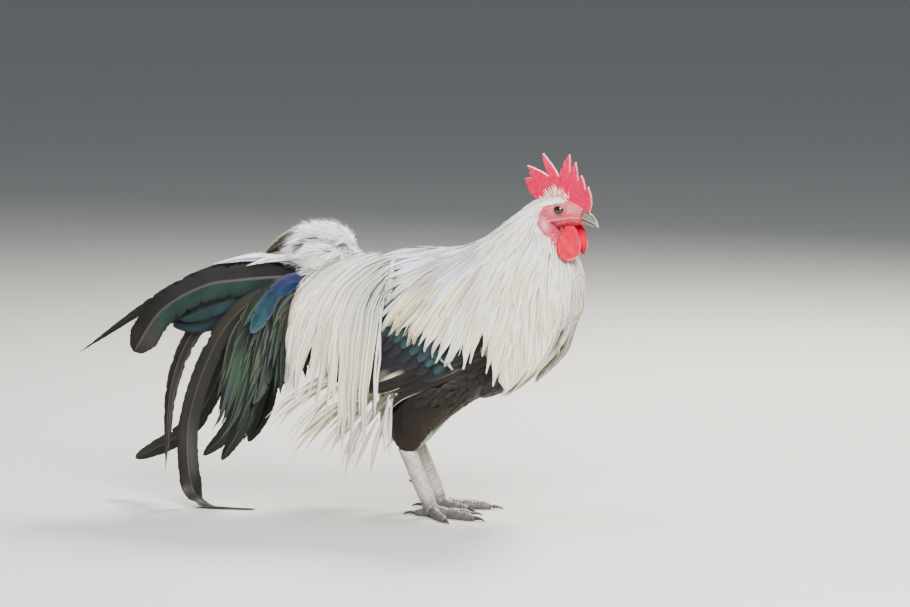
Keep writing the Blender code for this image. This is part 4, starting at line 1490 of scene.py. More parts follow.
def helper_loft(name: str, rings: Sequence[np.ndarray]) -> Object:
    """Makes a closed solid through rings, as a helper that is removed later.

    Args:
        name: its name.
        rings: rings of equal corner counts, in millimetres.

    Returns:
        The object.
    """
    count = len(rings[0])
    points = np.concatenate([*rings, rings[0].mean(0)[None], rings[-1].mean(0)[None]])
    first, last = len(points) - 2, len(points) - 1
    faces = []
    for r in range(len(rings) - 1):
        for k in range(count):
            m = (k + 1) % count
            faces.append((r * count + k, (r + 1) * count + k, (r + 1) * count + m, r * count + m))
    end = (len(rings) - 1) * count
    faces += [(k, (k + 1) % count, first) for k in range(count)]
    faces += [(end + (k + 1) % count, end + k, last) for k in range(count)]
    mesh = bpy.data.meshes.new(name)
    mesh.from_pydata(STANCE.to_row(points).tolist(), [], faces)
    bm = bmesh.new()
    bm.from_mesh(mesh)
    bmesh.ops.recalc_face_normals(bm, faces=bm.faces)
    bm.to_mesh(mesh)
    bm.free()
    return linked(name, mesh)


def helper_ball(name: str, middle: np.ndarray, radius: float) -> Object:
    """Makes a ball as a helper.

    Args:
        name: its name.
        middle: its middle, in millimetres.
        radius: its radius, in millimetres.

    Returns:
        The object.
    """
    bm = bmesh.new()
    bmesh.ops.create_icosphere(bm, subdivisions=5, radius=radius * MM,
                               matrix=Matrix.Translation(Vector(STANCE.to_row(middle))))
    return as_object(bm, name)


def taken_apart(helper: Object) -> tuple[np.ndarray, list[tuple[int, ...]]]:
    """Corners and faces of a helper, which is removed."""
    points = mesh_points(helper)
    faces = [tuple(p.vertices) for p in helper.data.polygons]
    bpy.data.objects.remove(helper)
    return points, faces


def cut(obj: Object, cutter: Object, operation: str = "DIFFERENCE") -> None:
    """Applies one Boolean operation and removes the cutter."""
    step = obj.modifiers.new("cut", "BOOLEAN")
    step.operation = operation
    step.solver = "EXACT"
    step.object = cutter
    apply_modifiers(obj)
    bpy.data.objects.remove(cutter)


def softened(node: str, levels: int, swell: float) -> Object:
    """A rounded helper copy of a CAD node.

    Args:
        node: the node's name.
        levels: rounds of subdivision.
        swell: how far it then grows, in millimetres.

    Returns:
        The copy.
    """
    bm = bmesh.new()
    bm.from_mesh(bpy.data.objects[node].data)
    bmesh.ops.remove_doubles(bm, verts=bm.verts, dist=0.001 * MM)
    obj = as_object(bm, "soft_" + node)
    if levels:
        rounder = obj.modifiers.new("round", "SUBSURF")
        rounder.levels = levels
        rounder.render_levels = levels
    apply_modifiers(obj)
    put_points(obj, mesh_points(obj) + mesh_normals(obj) * swell)
    return obj


def hung_wattle(side_name: str, side: int) -> Object:
    """A rounded wattle whose rear half lies over the side of the neck.

    Args:
        side_name: the side that it is on.
        side: 1 for the left, -1 for the right.

    Returns:
        A helper object.
    """
    obj = softened("wattle_" + side_name, 2, 0.75)
    flat = STANCE.turned(mesh_points(obj), back=True)
    x = flat[:, 0] - (flat[:, 0].min() + flat[:, 0].max()) / 2
    neck = np.interp(flat[:, 2], (288, 292, 304, 316, 322, 328), (9, 8, 0, -7, -12, -18))
    sunk = 4.0 * np.log1p(np.exp((neck - x) / 4.0))
    out = WATTLE_REACH * np.tanh(1.4 * sunk / WATTLE_REACH)
    flat[:, 2] += (3.0 if side < 0 else 7.0) * smoothstep(312, 288, flat[:, 2])
    flat[:, :2] += np.outer(out, (WATTLE_WAY[0], side * WATTLE_WAY[1]))
    put_points(obj, STANCE.turned(flat))
    return obj


@dataclass
class Zones:
    """Parts of the head's skin, as a share from 0 to 1 at each corner where nothing else is said."""

    flat: np.ndarray  # corners of the straight head
    ring: np.ndarray  # distance from the eye, which is wider than it is high
    lateral: np.ndarray
    comb: np.ndarray
    wattle: np.ndarray
    lobe: np.ndarray
    face: np.ndarray
    fold: np.ndarray  # height over the fold that runs back from the gape, in millimetres
    span: np.ndarray
    feathered: np.ndarray


@dataclass
class Skin:
    """One skin over all the flesh, bare and red on the face, comb and wattles."""

    form: HeadForm
    body_nodes: tuple[str, ...] = (*FLESH, "tail_base", "rump_tuft", "hackle_cape", "neck", "head")
    replaced: tuple[str, ...] = (*FLESH, "tail_base", "neck", "head", "comb", "wattle_right",
                                 "wattle_left", "earlobe_right", "earlobe_left")
    cape_low: float = 212.0  # the hackle hangs free below this height
    body_cell: float = 2.6  # size of a cell of the body's skin, before it sinks
    sunk_cell: float = 2.4  # and after
    head_cell: float = 0.5
    seam_place: tuple[float, float, float] = (104.0, 0.0, 331.0)
    seam_way: tuple[float, float, float] = (0.74, 0.0, 0.67)
    red: str = "#B43A52"
    pale: str = "#D98A8C"
    comb_red: str = "#C60044"
    comb_tip: str = "#D81E52"
    lobe: str = "#DFA3A8"

    def depth(self, points: np.ndarray, plumes: BVHTree) -> np.ndarray:
        """How deep the coat is over the skin at places on the outer form."""
        base = np.interp(points[:, 2], (75, 100, 150), (1.6, 2.4, 3.2))
        from_head = np.linalg.norm(points - np.array(HEAD_MIDDLE), axis=1)
        on_plumes = gaps_to(plumes, points) < 2.5
        return np.where(on_plumes, np.interp(from_head, (15, 40, 80), (1.0, 3.5, 6.5)), base)

    def body(self) -> Object:
        """The skin of trunk, neck, wings and thighs, sunk by the coat's depth.

        Returns:
            A helper object.
        """
        sources = [softened(n, 0, 0.3) for n in self.body_nodes]
        corners = np.array([(-200.0, -150.0), (300.0, -150.0), (300.0, 150.0), (-200.0, 150.0)])
        levels = [np.column_stack([corners, np.full(4, z)]) for z in (-50.0, self.cape_low)]
        cut(sources[self.body_nodes.index("hackle_cape")], helper_loft("below", levels))
        obj = remeshed("skin_body", sources, self.body_cell, 5)
        discard(sources)
        points = mesh_points(obj)
        plumes = raw_tree(("hackle_cape", "neck", "rump_tuft"))
        put_points(obj, points - mesh_normals(obj) * self.depth(points, plumes)[:, None])
        again = remeshed("skin_body_clean", [obj], self.sunk_cell, 4)
        bpy.data.objects.remove(obj)
        return again

    def head(self) -> Object:
        """The head's skin with lids, comb, wattles and earlobes, all grown together.

        Returns:
            A helper object.
        """
        form = self.form
        head = form.loft()
        eye_x, _, eye_z = form.eye
        for side_name, side in SIDES:
            middle = form.placed_eye(side)
            cut(head, helper_ball("lid", middle, form.lid_radius), "UNION")
            cut(head, helper_ball("socket", middle, form.eye_radius + 0.05))
            angles = np.linspace(0, 2 * math.pi, 40, endpoint=False)
            c, s = np.cos(angles), np.sin(angles)
            half_long, half_high = form.opening
            ring = np.column_stack([eye_x + half_long * bulged(c, 1.15), np.zeros(40),
                                    eye_z - 0.2 + half_high * bulged(s, 0.95)])
            rings = [STANCE.turned(ring + np.array([0, side * y, 0])) for y in (13.0, 40.0)]
            cut(head, helper_loft("opening", rings))
        sources = [head, softened("neck", 0, 0.2), softened("comb", 0, 0.5)]
        for side_name, side in SIDES:
            sources += [hung_wattle(side_name, side), softened("earlobe_" + side_name, 2, 0.75)]
        skin = remeshed("skin_head", sources, self.head_cell, 5)
        discard(sources)
        return skin

    def zones(self, points: np.ndarray) -> Zones:
        """Finds where the parts of the head's skin are.

        Args:
            points: corners of the skin.

        Returns:
            A share for each part at each corner.
        """
        flat = STANCE.turned(points, back=True)
        x, y, z = flat.T
        eye_x, _, eye_z = self.form.eye
        ring = np.hypot((x - eye_x) / 1.22, z - eye_z)
        lateral = smoothstep(6, 10, np.abs(y))
        hung = [hung_wattle(side_name, side) for side_name, side in SIDES]
        wattle_tree = raw_tree([wattle.name for wattle in hung])
        discard(hung)
        comb = 1 - smoothstep(0.8, 2.2, gaps_to(raw_tree(("comb",)), points))
        wattle = 1 - smoothstep(0.9, 2.4, gaps_to(wattle_tree, points))
        lobe = 1 - smoothstep(0.9, 2.6, gaps_to(raw_tree(("earlobe_right", "earlobe_left")), points))
        face = (1 - comb) * (1 - wattle)
        fold = z - np.interp(x, (130, 142, 154, 166), (334.5, 336.0, 338.4, 338.0))
        span = smoothstep(128, 136, x) * (1 - smoothstep(163, 169, x)) * lateral * face
        feathered = smoothstep(-1.0, -5.0, x - looked_up(z, FACE_LINE)) * face
        return Zones(flat, ring, lateral, comb, wattle, lobe, face, fold, span, feathered)

    @staticmethod
    def relief(points: np.ndarray, zones: Zones) -> np.ndarray:
        """Heights of folds, pebbles and wrinkles.

        Args:
            points: corners of the skin.
            zones: its parts.

        Returns:
            How far each corner rises, in millimetres.
        """
        flat, ring, lateral, face = zones.flat, zones.ring, zones.lateral, zones.face
        x, _, z = flat.T
        rise = np.zeros(len(flat))
        # Rings of loose skin round the lids, and the groove outside them
        window = smoothstep(5.6, 6.8, ring) * (1 - smoothstep(9.2, 11.0, ring)) * lateral
        rise += 0.26 * np.sin((ring - 5.8) * 2 * math.pi / 1.55 + 0.8 * ripple(flat, 7, 91)) * window
        rise -= 0.55 * bell(ring - 10.8, 0.9) * lateral * face
        # Fold from the gape back under the eye
        rise += (0.6 * bell(zones.fold, 1.3) - 0.6 * bell(zones.fold + 2.6, 1.1)) * zones.span
        # Creases of the cheek and the loose skin before the earlobe
        cheek = smoothstep(337, 332, z) * smoothstep(168, 160, x) * lateral * face
        creases = 0.42 * np.sin(ripple(flat, 9, 92) * 3.0 + (x * 0.9 - z * 0.35))
        rise += creases * cheek * (1 - 0.6 * zones.lobe)
        rise += 0.22 * ripple(flat * np.array([0.6, 1, 1.7]), 3.2, 93) * face * smoothstep(9.5, 12, ring)
        # Fine pebbles everywhere that is bare, coarser on comb and wattles
        rise += 0.09 * ripple(flat, 1.7, 94, 14) * face * smoothstep(5.5, 6.5, ring)
        rise += 0.09 * ripple(flat, 1.9, 95, 14) * np.maximum(zones.comb, zones.wattle)
        rise += 0.2 * ripple(flat * np.array([1, 1, 0.35]), 3.4, 96) * zones.comb * smoothstep(372, 392, z)
        rise += 0.3 * ripple(flat * np.array([0.8, 1, 0.5]), 9.0, 97) * zones.wattle
        # Skin that feathers cover lies lower, more so away from the head
        away = np.linalg.norm(points - np.array(HEAD_MIDDLE), axis=1)
        return rise - (1.2 + 3.0 * smoothstep(20, 50, away)) * zones.feathered

    def colours(self, normals: np.ndarray, zones: Zones) -> np.ndarray:
        """Colours of the head's skin.

        Args:
            normals: normals at its corners.
            zones: its parts.

        Returns:
            The linear colour of each corner.
        """
        flat, ring, lateral, face = zones.flat, zones.ring, zones.lateral, zones.face
        x, _, z = flat.T
        orbit = smoothstep(5.0, 6.0, ring) * (1 - smoothstep(9.5, 12.5, ring)) * lateral
        lid = 1 - smoothstep(4.4, 6.4, ring)
        lores = smoothstep(150, 158, x) * smoothstep(343, 346, z) * face
        gape = smoothstep(145, 151, x) * smoothstep(345, 341, z) * face
        mottled = 0.5 + 0.5 * ripple(flat, 3.0, 98)
        lobe_mid = np.exp(-((x - 130.0 + 0.36 * (z - 328.5)) / 3.5) ** 2 - ((z - 330.5) / 6.8) ** 2)
        pallor = np.clip(zones.lobe * lobe_mid * 1.2, 0, 0.9) * (0.7 + 0.3 * mottled)
        colour = painted(flood(self.red, flat.shape), ("#C46A6E", orbit * 0.7),
                         ("#8E5A58", lid * lateral * 0.75), ("#B9757A", lores * 0.5),
                         ("#C4183A", gape * 0.85), ("#DFA29C", bell(zones.fold, 1.2) * zones.span * 0.4),
                         (self.pale, 0.2 * mottled * face * (1 - orbit)), (self.lobe, pallor))
        bright = painted(flood(self.comb_red, flat.shape), (self.comb_tip, smoothstep(380, 405, z) * 0.7))
        colour = mix(colour, bright, zones.comb)
        # Painted highlight: pale pink where the comb faces ahead, back or up and where the wattles face ahead
        # and down, for light shining through their thin edges
        thin = zones.comb * (1 - smoothstep(0.25, 0.75, np.abs(normals[:, 1])))
        thin += (0.8 * zones.wattle * smoothstep(0.6, 0.92, normals[:, 0])
                 * smoothstep(0.35, -0.1, normals[:, 2]))
        return painted(colour, ("#C60030", zones.wattle), ("#F3ECE4", zones.feathered),
                       ("#FF9CAC", np.clip(thin, 0, 1) * 0.8))

    def build(self, finish: Material) -> Object:
        """Joins the two skins across the neck, under the hackle, into one.

        Args:
            finish: living skin.

        Returns:
            The piece.
        """
        body, head = self.body(), self.head()
        points, normals = mesh_points(head), mesh_normals(head)
        zones = self.zones(points)
        put_points(head, points + normals * self.relief(points, zones)[:, None])
        set_tint(head, self.colours(normals, zones))
        points = mesh_points(body)
        plumes = raw_tree(("hackle_cape", "neck", "rump_tuft"))
        white = 1 - smoothstep(7.0, 9.0, gaps_to(plumes, points))
        white *= smoothstep(185, 215, points[:, 2] + 0.35 * points[:, 0])
        breast = smoothstep(88, 104, points[:, 0]) * smoothstep(146, 160, points[:, 2])
        # The breast skin is pale only along its middle; the dark beside it also serves as painted shade in
        # the gap under the hackle
        white = np.maximum(white, breast * smoothstep(18, 10, np.abs(points[:, 1])))
        back = 0.75 * smoothstep(236, 262, points[:, 2]) * smoothstep(-150, -130, points[:, 0])
        white = np.maximum(white, back)
        set_tint(body, painted(flood("#1E1B1A", points.shape), ("#D9D4CA", white)))
        place = Vector(STANCE.to_row(np.array(self.seam_place)))
        joined = bmesh.new()
        for obj, outer in ((body, True), (head, False)):
            part = bmesh.new()
            part.from_mesh(obj.data)
            whole = [*part.verts, *part.edges, *part.faces]
            bmesh.ops.bisect_plane(part, geom=whole, plane_co=place, plane_no=Vector(self.seam_way),
                                   clear_outer=outer, clear_inner=not outer)
            mesh = bpy.data.meshes.new("half")
            part.to_mesh(mesh)
            part.free()
            joined.from_mesh(mesh)
            bpy.data.objects.remove(obj)
        rims = [e for e in joined.edges if e.is_boundary]
        bmesh.ops.bridge_loops(joined, edges=rims)
        bmesh.ops.recalc_face_normals(joined, faces=joined.faces)
        mesh = bpy.data.meshes.new("skin")
        joined.to_mesh(mesh)
        joined.free()
        mesh.shade_smooth()
        mesh.materials.append(finish)
        obj = linked("skin", mesh)
        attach(obj, "root")
        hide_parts(*self.replaced)
        LOG.info("skin: %d faces", len(mesh.polygons))
        return obj


@dataclass
class Eyes:
    """Two wet eyes set between the lids."""

    form: HeadForm
    pupil: float = 2.4  # radius, in millimetres
    iris: float = 5.2
    cornea: tuple[float, float] = (0.45, 3.4)  # how far it bulges, and over which distance

    def build(self, finish: Material) -> None:
        """Makes both eyes."""
        for side_name, side in SIDES:
            raw, faces = taken_apart(helper_ball("eyeball", np.zeros(3), self.form.eye_radius))
            look = unit(np.array([0.12, side, 0.0]))
            off = np.linalg.norm(raw - np.outer(raw @ look, look), axis=1)
            front = raw @ look > 0
            bulge, spread = self.cornea
            raw = raw + np.outer(np.where(front, bulge * bell(off, spread), 0), look)
            place = raw + self.form.placed_eye(side)
            obj = new_piece("eyeball_" + side_name, place, faces, finish)
            tint = flood("#1A0D08", raw.shape)
            iris = linear("#24100A") * (1 + 0.25 * np.sin(np.arctan2(raw[:, 0], raw[:, 2]) * 31))[:, None]
            tint = mix(tint, iris, (1 - smoothstep(self.iris - 0.6, self.iris, off)) * front)
            pupil = (1 - smoothstep(self.pupil - 0.3, self.pupil + 0.2, off)) * front
            set_tint(obj, painted(tint, ("#050403", pupil)))
            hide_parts("eye_" + side_name)


@dataclass
class Bill:
    """Two horn sheaths, with a nostril under a small flap on each side."""

    form: HeadForm
    nostril: tuple[float, float] = (166.5, 342.6)
    corners: int = 40  # of each ring of a half
    rings: int = 60

    def half(self, name: str, rows: Rows, finish: Material, upper: bool) -> None:
        """Makes one half.

        Args:
            name: its CAD node.
            rows: x, top, bottom and half width from root to tip.
            finish: horn.
            upper: whether it is the upper half.
        """
        c, s = circle(self.corners)
        rings = []
        for x, top, low, wide in smooth_rows(rows, self.rings):
            power = np.where(c > 0, 1.15, 0.7) if upper else 0.8
            up = bulged(c, power)
            out = bulged(s, 1.15 if upper else 0.9)
            heights = (top + low) / 2 + (top - low) / 2 * up
            rings.append(np.column_stack([np.full(self.corners, x), wide * out, heights]))
        grid = np.array(rings)
        if upper:
            ahead, above = grid[..., 0] - self.nostril[0], grid[..., 2] - self.nostril[1]
            hole = (ahead / 2.6) ** 2 + (above / 0.85) ** 2
            flap = (ahead / 3.6) ** 2 + ((above - 1.7) / 1.3) ** 2
            swell = 0.55 * np.exp(-flap) - 1.5 * np.exp(-hole)
            grid[..., 1] += np.sign(grid[..., 1]) * swell * smoothstep(1.5, 3.0, np.abs(grid[..., 1]))
        points, faces = taken_apart(helper_loft("bill", [STANCE.turned(r) for r in grid]))
        obj = new_piece("horn_" + name, points, faces, finish)
        flat = STANCE.turned(points, back=True)
        table = np.array(rows)
        top, low = (np.interp(flat[:, 0], table[:, 0], table[:, k]) for k in (1, 2))
        share = np.clip((top - flat[:, 2]) / (top - low), 0, 1)
        dark = (1 - smoothstep(0.12, 0.5, share)) * 0.8 if upper else share * 0.2
        # Painted highlight: a pale line along the top of the upper bill
        ridge_highlight = (1 - smoothstep(0.0, 0.07, share)) * (0.7 if upper else 0.0)
        ahead, above = flat[:, 0] - self.nostril[0], flat[:, 2] - self.nostril[1]
        # Painted shade: the nostril's hollow on the upper bill is near black
        hole = np.exp(-((ahead / 2.8) ** 2 + (above / 0.95) ** 2) * 1.1) * upper
        tint = painted(flood("#57504A", points.shape), ("#C9BA9C", smoothstep(0.55, 0.95, share)),
                       ("#3B3734", dark), ("#B8AF9E", ridge_highlight),
                       ("#C9BCA0", smoothstep(181, 185, flat[:, 0]) * 0.7), ("#1C1613", hole),
                       ("#C0857A", 1 - smoothstep(162, 167, flat[:, 0])))
        set_tint(obj, tint)
        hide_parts(name)

    def build(self, finish: Material) -> None:
        """Makes both halves."""
        self.half("bill_upper", self.form.upper_bill, finish, True)
        self.half("bill_lower", self.form.lower_bill, finish, False)


@dataclass
class HeadFeathers:
    """Short pointed feathers round the comb's foot, and hair-like ones on the bare face."""

    form: HeadForm
    seed: int = 91

    def build(self, guide: Guide, finish: Material) -> Object:
        """Grows them.

        Args:
            guide: the skin of the head.
            finish: white feather.

        Returns:
            The piece.
        """
        rng = np.random.default_rng(self.seed)
        coat = Coat("head_feathers", finish)

        def crown_spacing(places: np.ndarray, normals: np.ndarray) -> np.ndarray:
            """A band from behind the eye along the comb's foot."""
            flat = STANCE.turned(places, back=True)
            x, z = flat[:, 0], flat[:, 2]
            low = np.interp(x, (112, 122, 130, 140, 150), (349, 351, 352.5, 354, 355))
            high = np.interp(x, (118, 126, 136, 152), (357, 363, 365, 361))
            band = (z > low) & (z < high) & (x > 117) & (x < 151) & (np.abs(flat[:, 1]) > 2.0)
            return np.where(band, np.interp(z, (352, 359), (1.0, 1.5)), 0.0)

        def crown_flow(places: np.ndarray, normals: np.ndarray) -> np.ndarray:
            """Up and a little back."""
            flat = STANCE.turned(places, back=True)
            lean = np.interp(flat[:, 0], (110, 125, 148), (-1.2, -0.55, 0.05))
            sway = ripple(places, 6.0, 17) * 0.22
            return np.column_stack([lean + sway, np.zeros(len(places)), np.ones(len(places))])

        roots = guide.scatter(crown_spacing, self.seed)
        path, lie, _ = walk(guide, roots, crown_flow, 24, step=2.0, rim=NEVER)
        straight = STANCE.turned(roots, back=True)
        reach = np.interp(straight[:, 0], (117, 127, 136, 151), (5, 10, 13, 8))
        reach = reach * rng.uniform(0.5, 1.15, len(roots))
        lines = resampled(path, lie, reach, 7, step=2.0).lifted(-0.2, rng.uniform(0.5, 1.6, len(roots)), 1.0)
        lines = lines.gathered(2.4, 0.7, 0.3, self.seed)
        # Painted shade: a little blue-grey on some of them
        base = blend_three(COLOURS.white, COLOURS.sky_shade, COLOURS.cream, rng.uniform(0, 0.5, len(roots)),
                           rng.uniform(0, 0.15, len(roots)))
        # Painted shade at the edges and roots of the crown's feathers
        coat.add(lines, rng.uniform(0.4, 0.85, len(roots)), Vane.LANCE, 3, 0.3,
                 with_painted_shade(base, 0.2, 0.2), rng.normal(0, 0.3, len(roots)))

        def hair_spacing(places: np.ndarray, normals: np.ndarray) -> np.ndarray:
            """The cheeks, the lores and round the eye."""
            flat = STANCE.turned(places, back=True)
            x, z = flat[:, 0], flat[:, 2]
            ring = np.hypot((x - self.form.eye[0]) / 1.2, z - self.form.eye[2])
            bare = (ring > 6.6) & (x > 118) & (x < 166) & (z > 329) & (z < 357) & (np.abs(flat[:, 1]) > 4)
            return np.where(bare & (z > 400 - 0.4 * x), 2.4, 0.0)

        def hair_flow(places: np.ndarray, normals: np.ndarray) -> np.ndarray:
            """Backward and a little down."""
            ruffle = np.stack([ripple(places, 4.0, k) for k in (33, 34, 35)], axis=1) * 0.5
            return np.array([-1.0, 0.0, -0.35]) + ruffle

        spots = guide.scatter(hair_spacing, self.seed + 1)
        path, lie, _ = walk(guide, spots, hair_flow, 6, step=1.0, rim=NEVER)
        hairs = resampled(path, lie, rng.uniform(1.2, 2.8, len(spots)), 4, step=1.0).lifted(-0.1, 0.55, 1.0)
        pale = flood("#F0D9D2", (len(spots), 3))
        # A little painted shade at the roots of the hairs
        coat.add(hairs, np.full(len(spots), 0.18), Vane.LANCE, 3, 0.2,
                 with_painted_shade(pale, 0.0, 0.1))
        return coat.build("white_feather")


@dataclass(frozen=True)
class WingRow:
    """One row of wing feathers: where its tips lie and how each feather looks."""

    first: tuple[float, float]  # distance ahead and height of the row's first tip
    last: tuple[float, float]
    ways: tuple[float, float]  # degrees below straight back, for the first and the last feather
    count: int
    length: float
    width: float
    shape: Vane
    lift: float
    colour: str
    edge: str  # colour of the outer edge
    edge_from: float  # share of the half width where the edge colour starts
    creamy: bool = False  # whether the creamy patch shows on it


@dataclass
class Wing:
    """The strip of folded wing between hackle and saddle: teal rows over dark ones and pale-edged quills."""

    rows: tuple[WingRow, ...] = (
        WingRow((-88, 119), (-96, 134), (24, 22), 4, 150, 11, Vane.RIBBON, 1.5, "#23201E", "#E6DFD2", 0.82),
        WingRow((-92, 136), (-84, 172), (24, 32), 5, 120, 15, Vane.RIBBON, 1.2, "#242228", "#3C3A41", 0.8,
                creamy=True),
        WingRow((-70, 166), (-62, 210), (34, 42), 5, 96, 17, Vane.RIBBON, 1.6, "#1D1C23", "#302F38", 0.7),
        WingRow((-72, 202), (2, 158), (50, 46), 8, 52, 17, Vane.ROUND, 2.0, "#1B1C22", "#2C2D36", 0.7),
        WingRow((-62, 217), (12, 166), (52, 48), 9, 44, 14, Vane.ROUND, 2.5, "#243A3F", "#101416", 0.7),
        WingRow((-56, 229), (20, 176), (52, 48), 9, 44, 14, Vane.ROUND, 2.9, "#2A4246", "#101416", 0.7))
    cream_patch: tuple[float, float, float, float] = (-30, 160, 21, 5.5)  # middle and half sizes
    seed: int = 83

    def zone(self, places: np.ndarray) -> np.ndarray:
        """Whether each place is covered by the wing's own feathers."""
        x, z = places[:, 0], places[:, 2]
        return (x > -130) & (x < 62) & (z > np.interp(x, (-130, -45, 31, 62), (108, 126, 156, 178)))

    def build(self, guide: Guide, finish: Material) -> Object:
        """Lays the rows on both wings.

        Args:
            guide: outer surface of trunk and wings.
            finish: dark feather.

        Returns:
            The piece.
        """
        coat = Coat("wing_feathers", finish)
        for _, side in SIDES:
            rng = np.random.default_rng(self.seed)
            for row in self.rows:
                share = np.linspace(0, 1, row.count)
                tips = np.outer(1 - share, row.first) + np.outer(share, row.last)
                below = np.radians(np.interp(share, (0, 1), row.ways)) + rng.normal(0, 0.02, row.count)
                way = np.column_stack([-np.cos(below), np.zeros(row.count), -np.sin(below)])
                lengths = row.length * rng.uniform(0.95, 1.05, row.count)
                roots = np.column_stack([tips[:, 0], np.full(row.count, side * 62.0), tips[:, 1]])
                roots = roots - way * lengths[:, None]
                path, lie, _ = walk(guide, roots, lambda places, normals, w=way: w, row.length * 1.1, 4.0,
                                    rim=NEVER)
                lines = resampled(path, lie, lengths, 16, step=4.0)
                lines = lines.lifted(row.lift - 0.7, row.lift + 0.5 + rng.uniform(0, 0.4, row.count), 1.0)
                coat.add(lines, np.full(row.count, row.width), row.shape, 9, 0.22,
                         self.tint(row, lines, side, rng), side * 0.06)
        return coat.build("green_feather")

    def tint(self, row: WingRow, lines: Lines, side: float,
             rng: np.random.Generator) -> Paint:
        """Colours one row.

        Args:
            row: the row.
            lines: its shafts.
            side: -1 on the right, 1 on the left.
            rng: source of small differences.

        Returns:
            A function of the shares across and along.
        """
        tone = rng.uniform(0.85, 1.15, (row.count, 1, 1, 1))
        cx, cz, wide_by, tall_by = self.cream_patch
        ahead, above = (lines.places[..., 0] - cx) / wide_by, (lines.places[..., 2] - cz) / tall_by
        patch = np.exp(-ahead ** 4 - above ** 4)
        patch = patch * row.creamy

        def paint(wide: np.ndarray, long: np.ndarray) -> np.ndarray:
            """Plain in the middle, edged outside, creamy in the patch, with painted shade toward the root."""
            base = flood(row.colour, wide.shape + (3,)) * tone
            # Painted shade: darker toward the root, where the feathers over it cover it, and lighter toward
            # the tip
            base = base * (0.75 + 0.5 * smoothstep(0.2, 0.9, long))[..., None]
            outer = np.abs(wide) if row.shape is Vane.ROUND else wide * side
            if row.shape is Vane.ROUND:
                outer = np.maximum(outer, smoothstep(0.88, 1.0, long))
            rim = smoothstep(row.edge_from, min(row.edge_from + 0.35, 1.0), outer)
            rim = rim * smoothstep(0.35, 0.6, long)
            edged = mix(base, linear(row.edge), rim)
            ragged = patch[..., None] * smoothstep(-0.5, 0.0, wide * side)
            return mix(edged, linear("#EFE6CE"), np.clip(ragged, 0, 1) * 0.9)

        return paint


@dataclass(frozen=True)
class Quill:
    """One large tail feather, drawn by its shaft from root to tip."""

    node: str  # the CAD node that it stands for, without the side
    away: float  # distance from the middle at the root
    gain: float  # how much further away the tip is
    width: float
    blunt: float
    shaft: Pairs
    upper: str = "#2C2A29"  # colours of the half above the shaft and the half below it
    lower: str = "#26302E"
    edge: str = "#1B1A1A"
    rib: str = "#5B544C"
    flat_from: float = 2.0  # share from which it lies flat on the floor
    tip: str = ""  # colour toward the tip, where it differs
    tip_from: float = 0.45


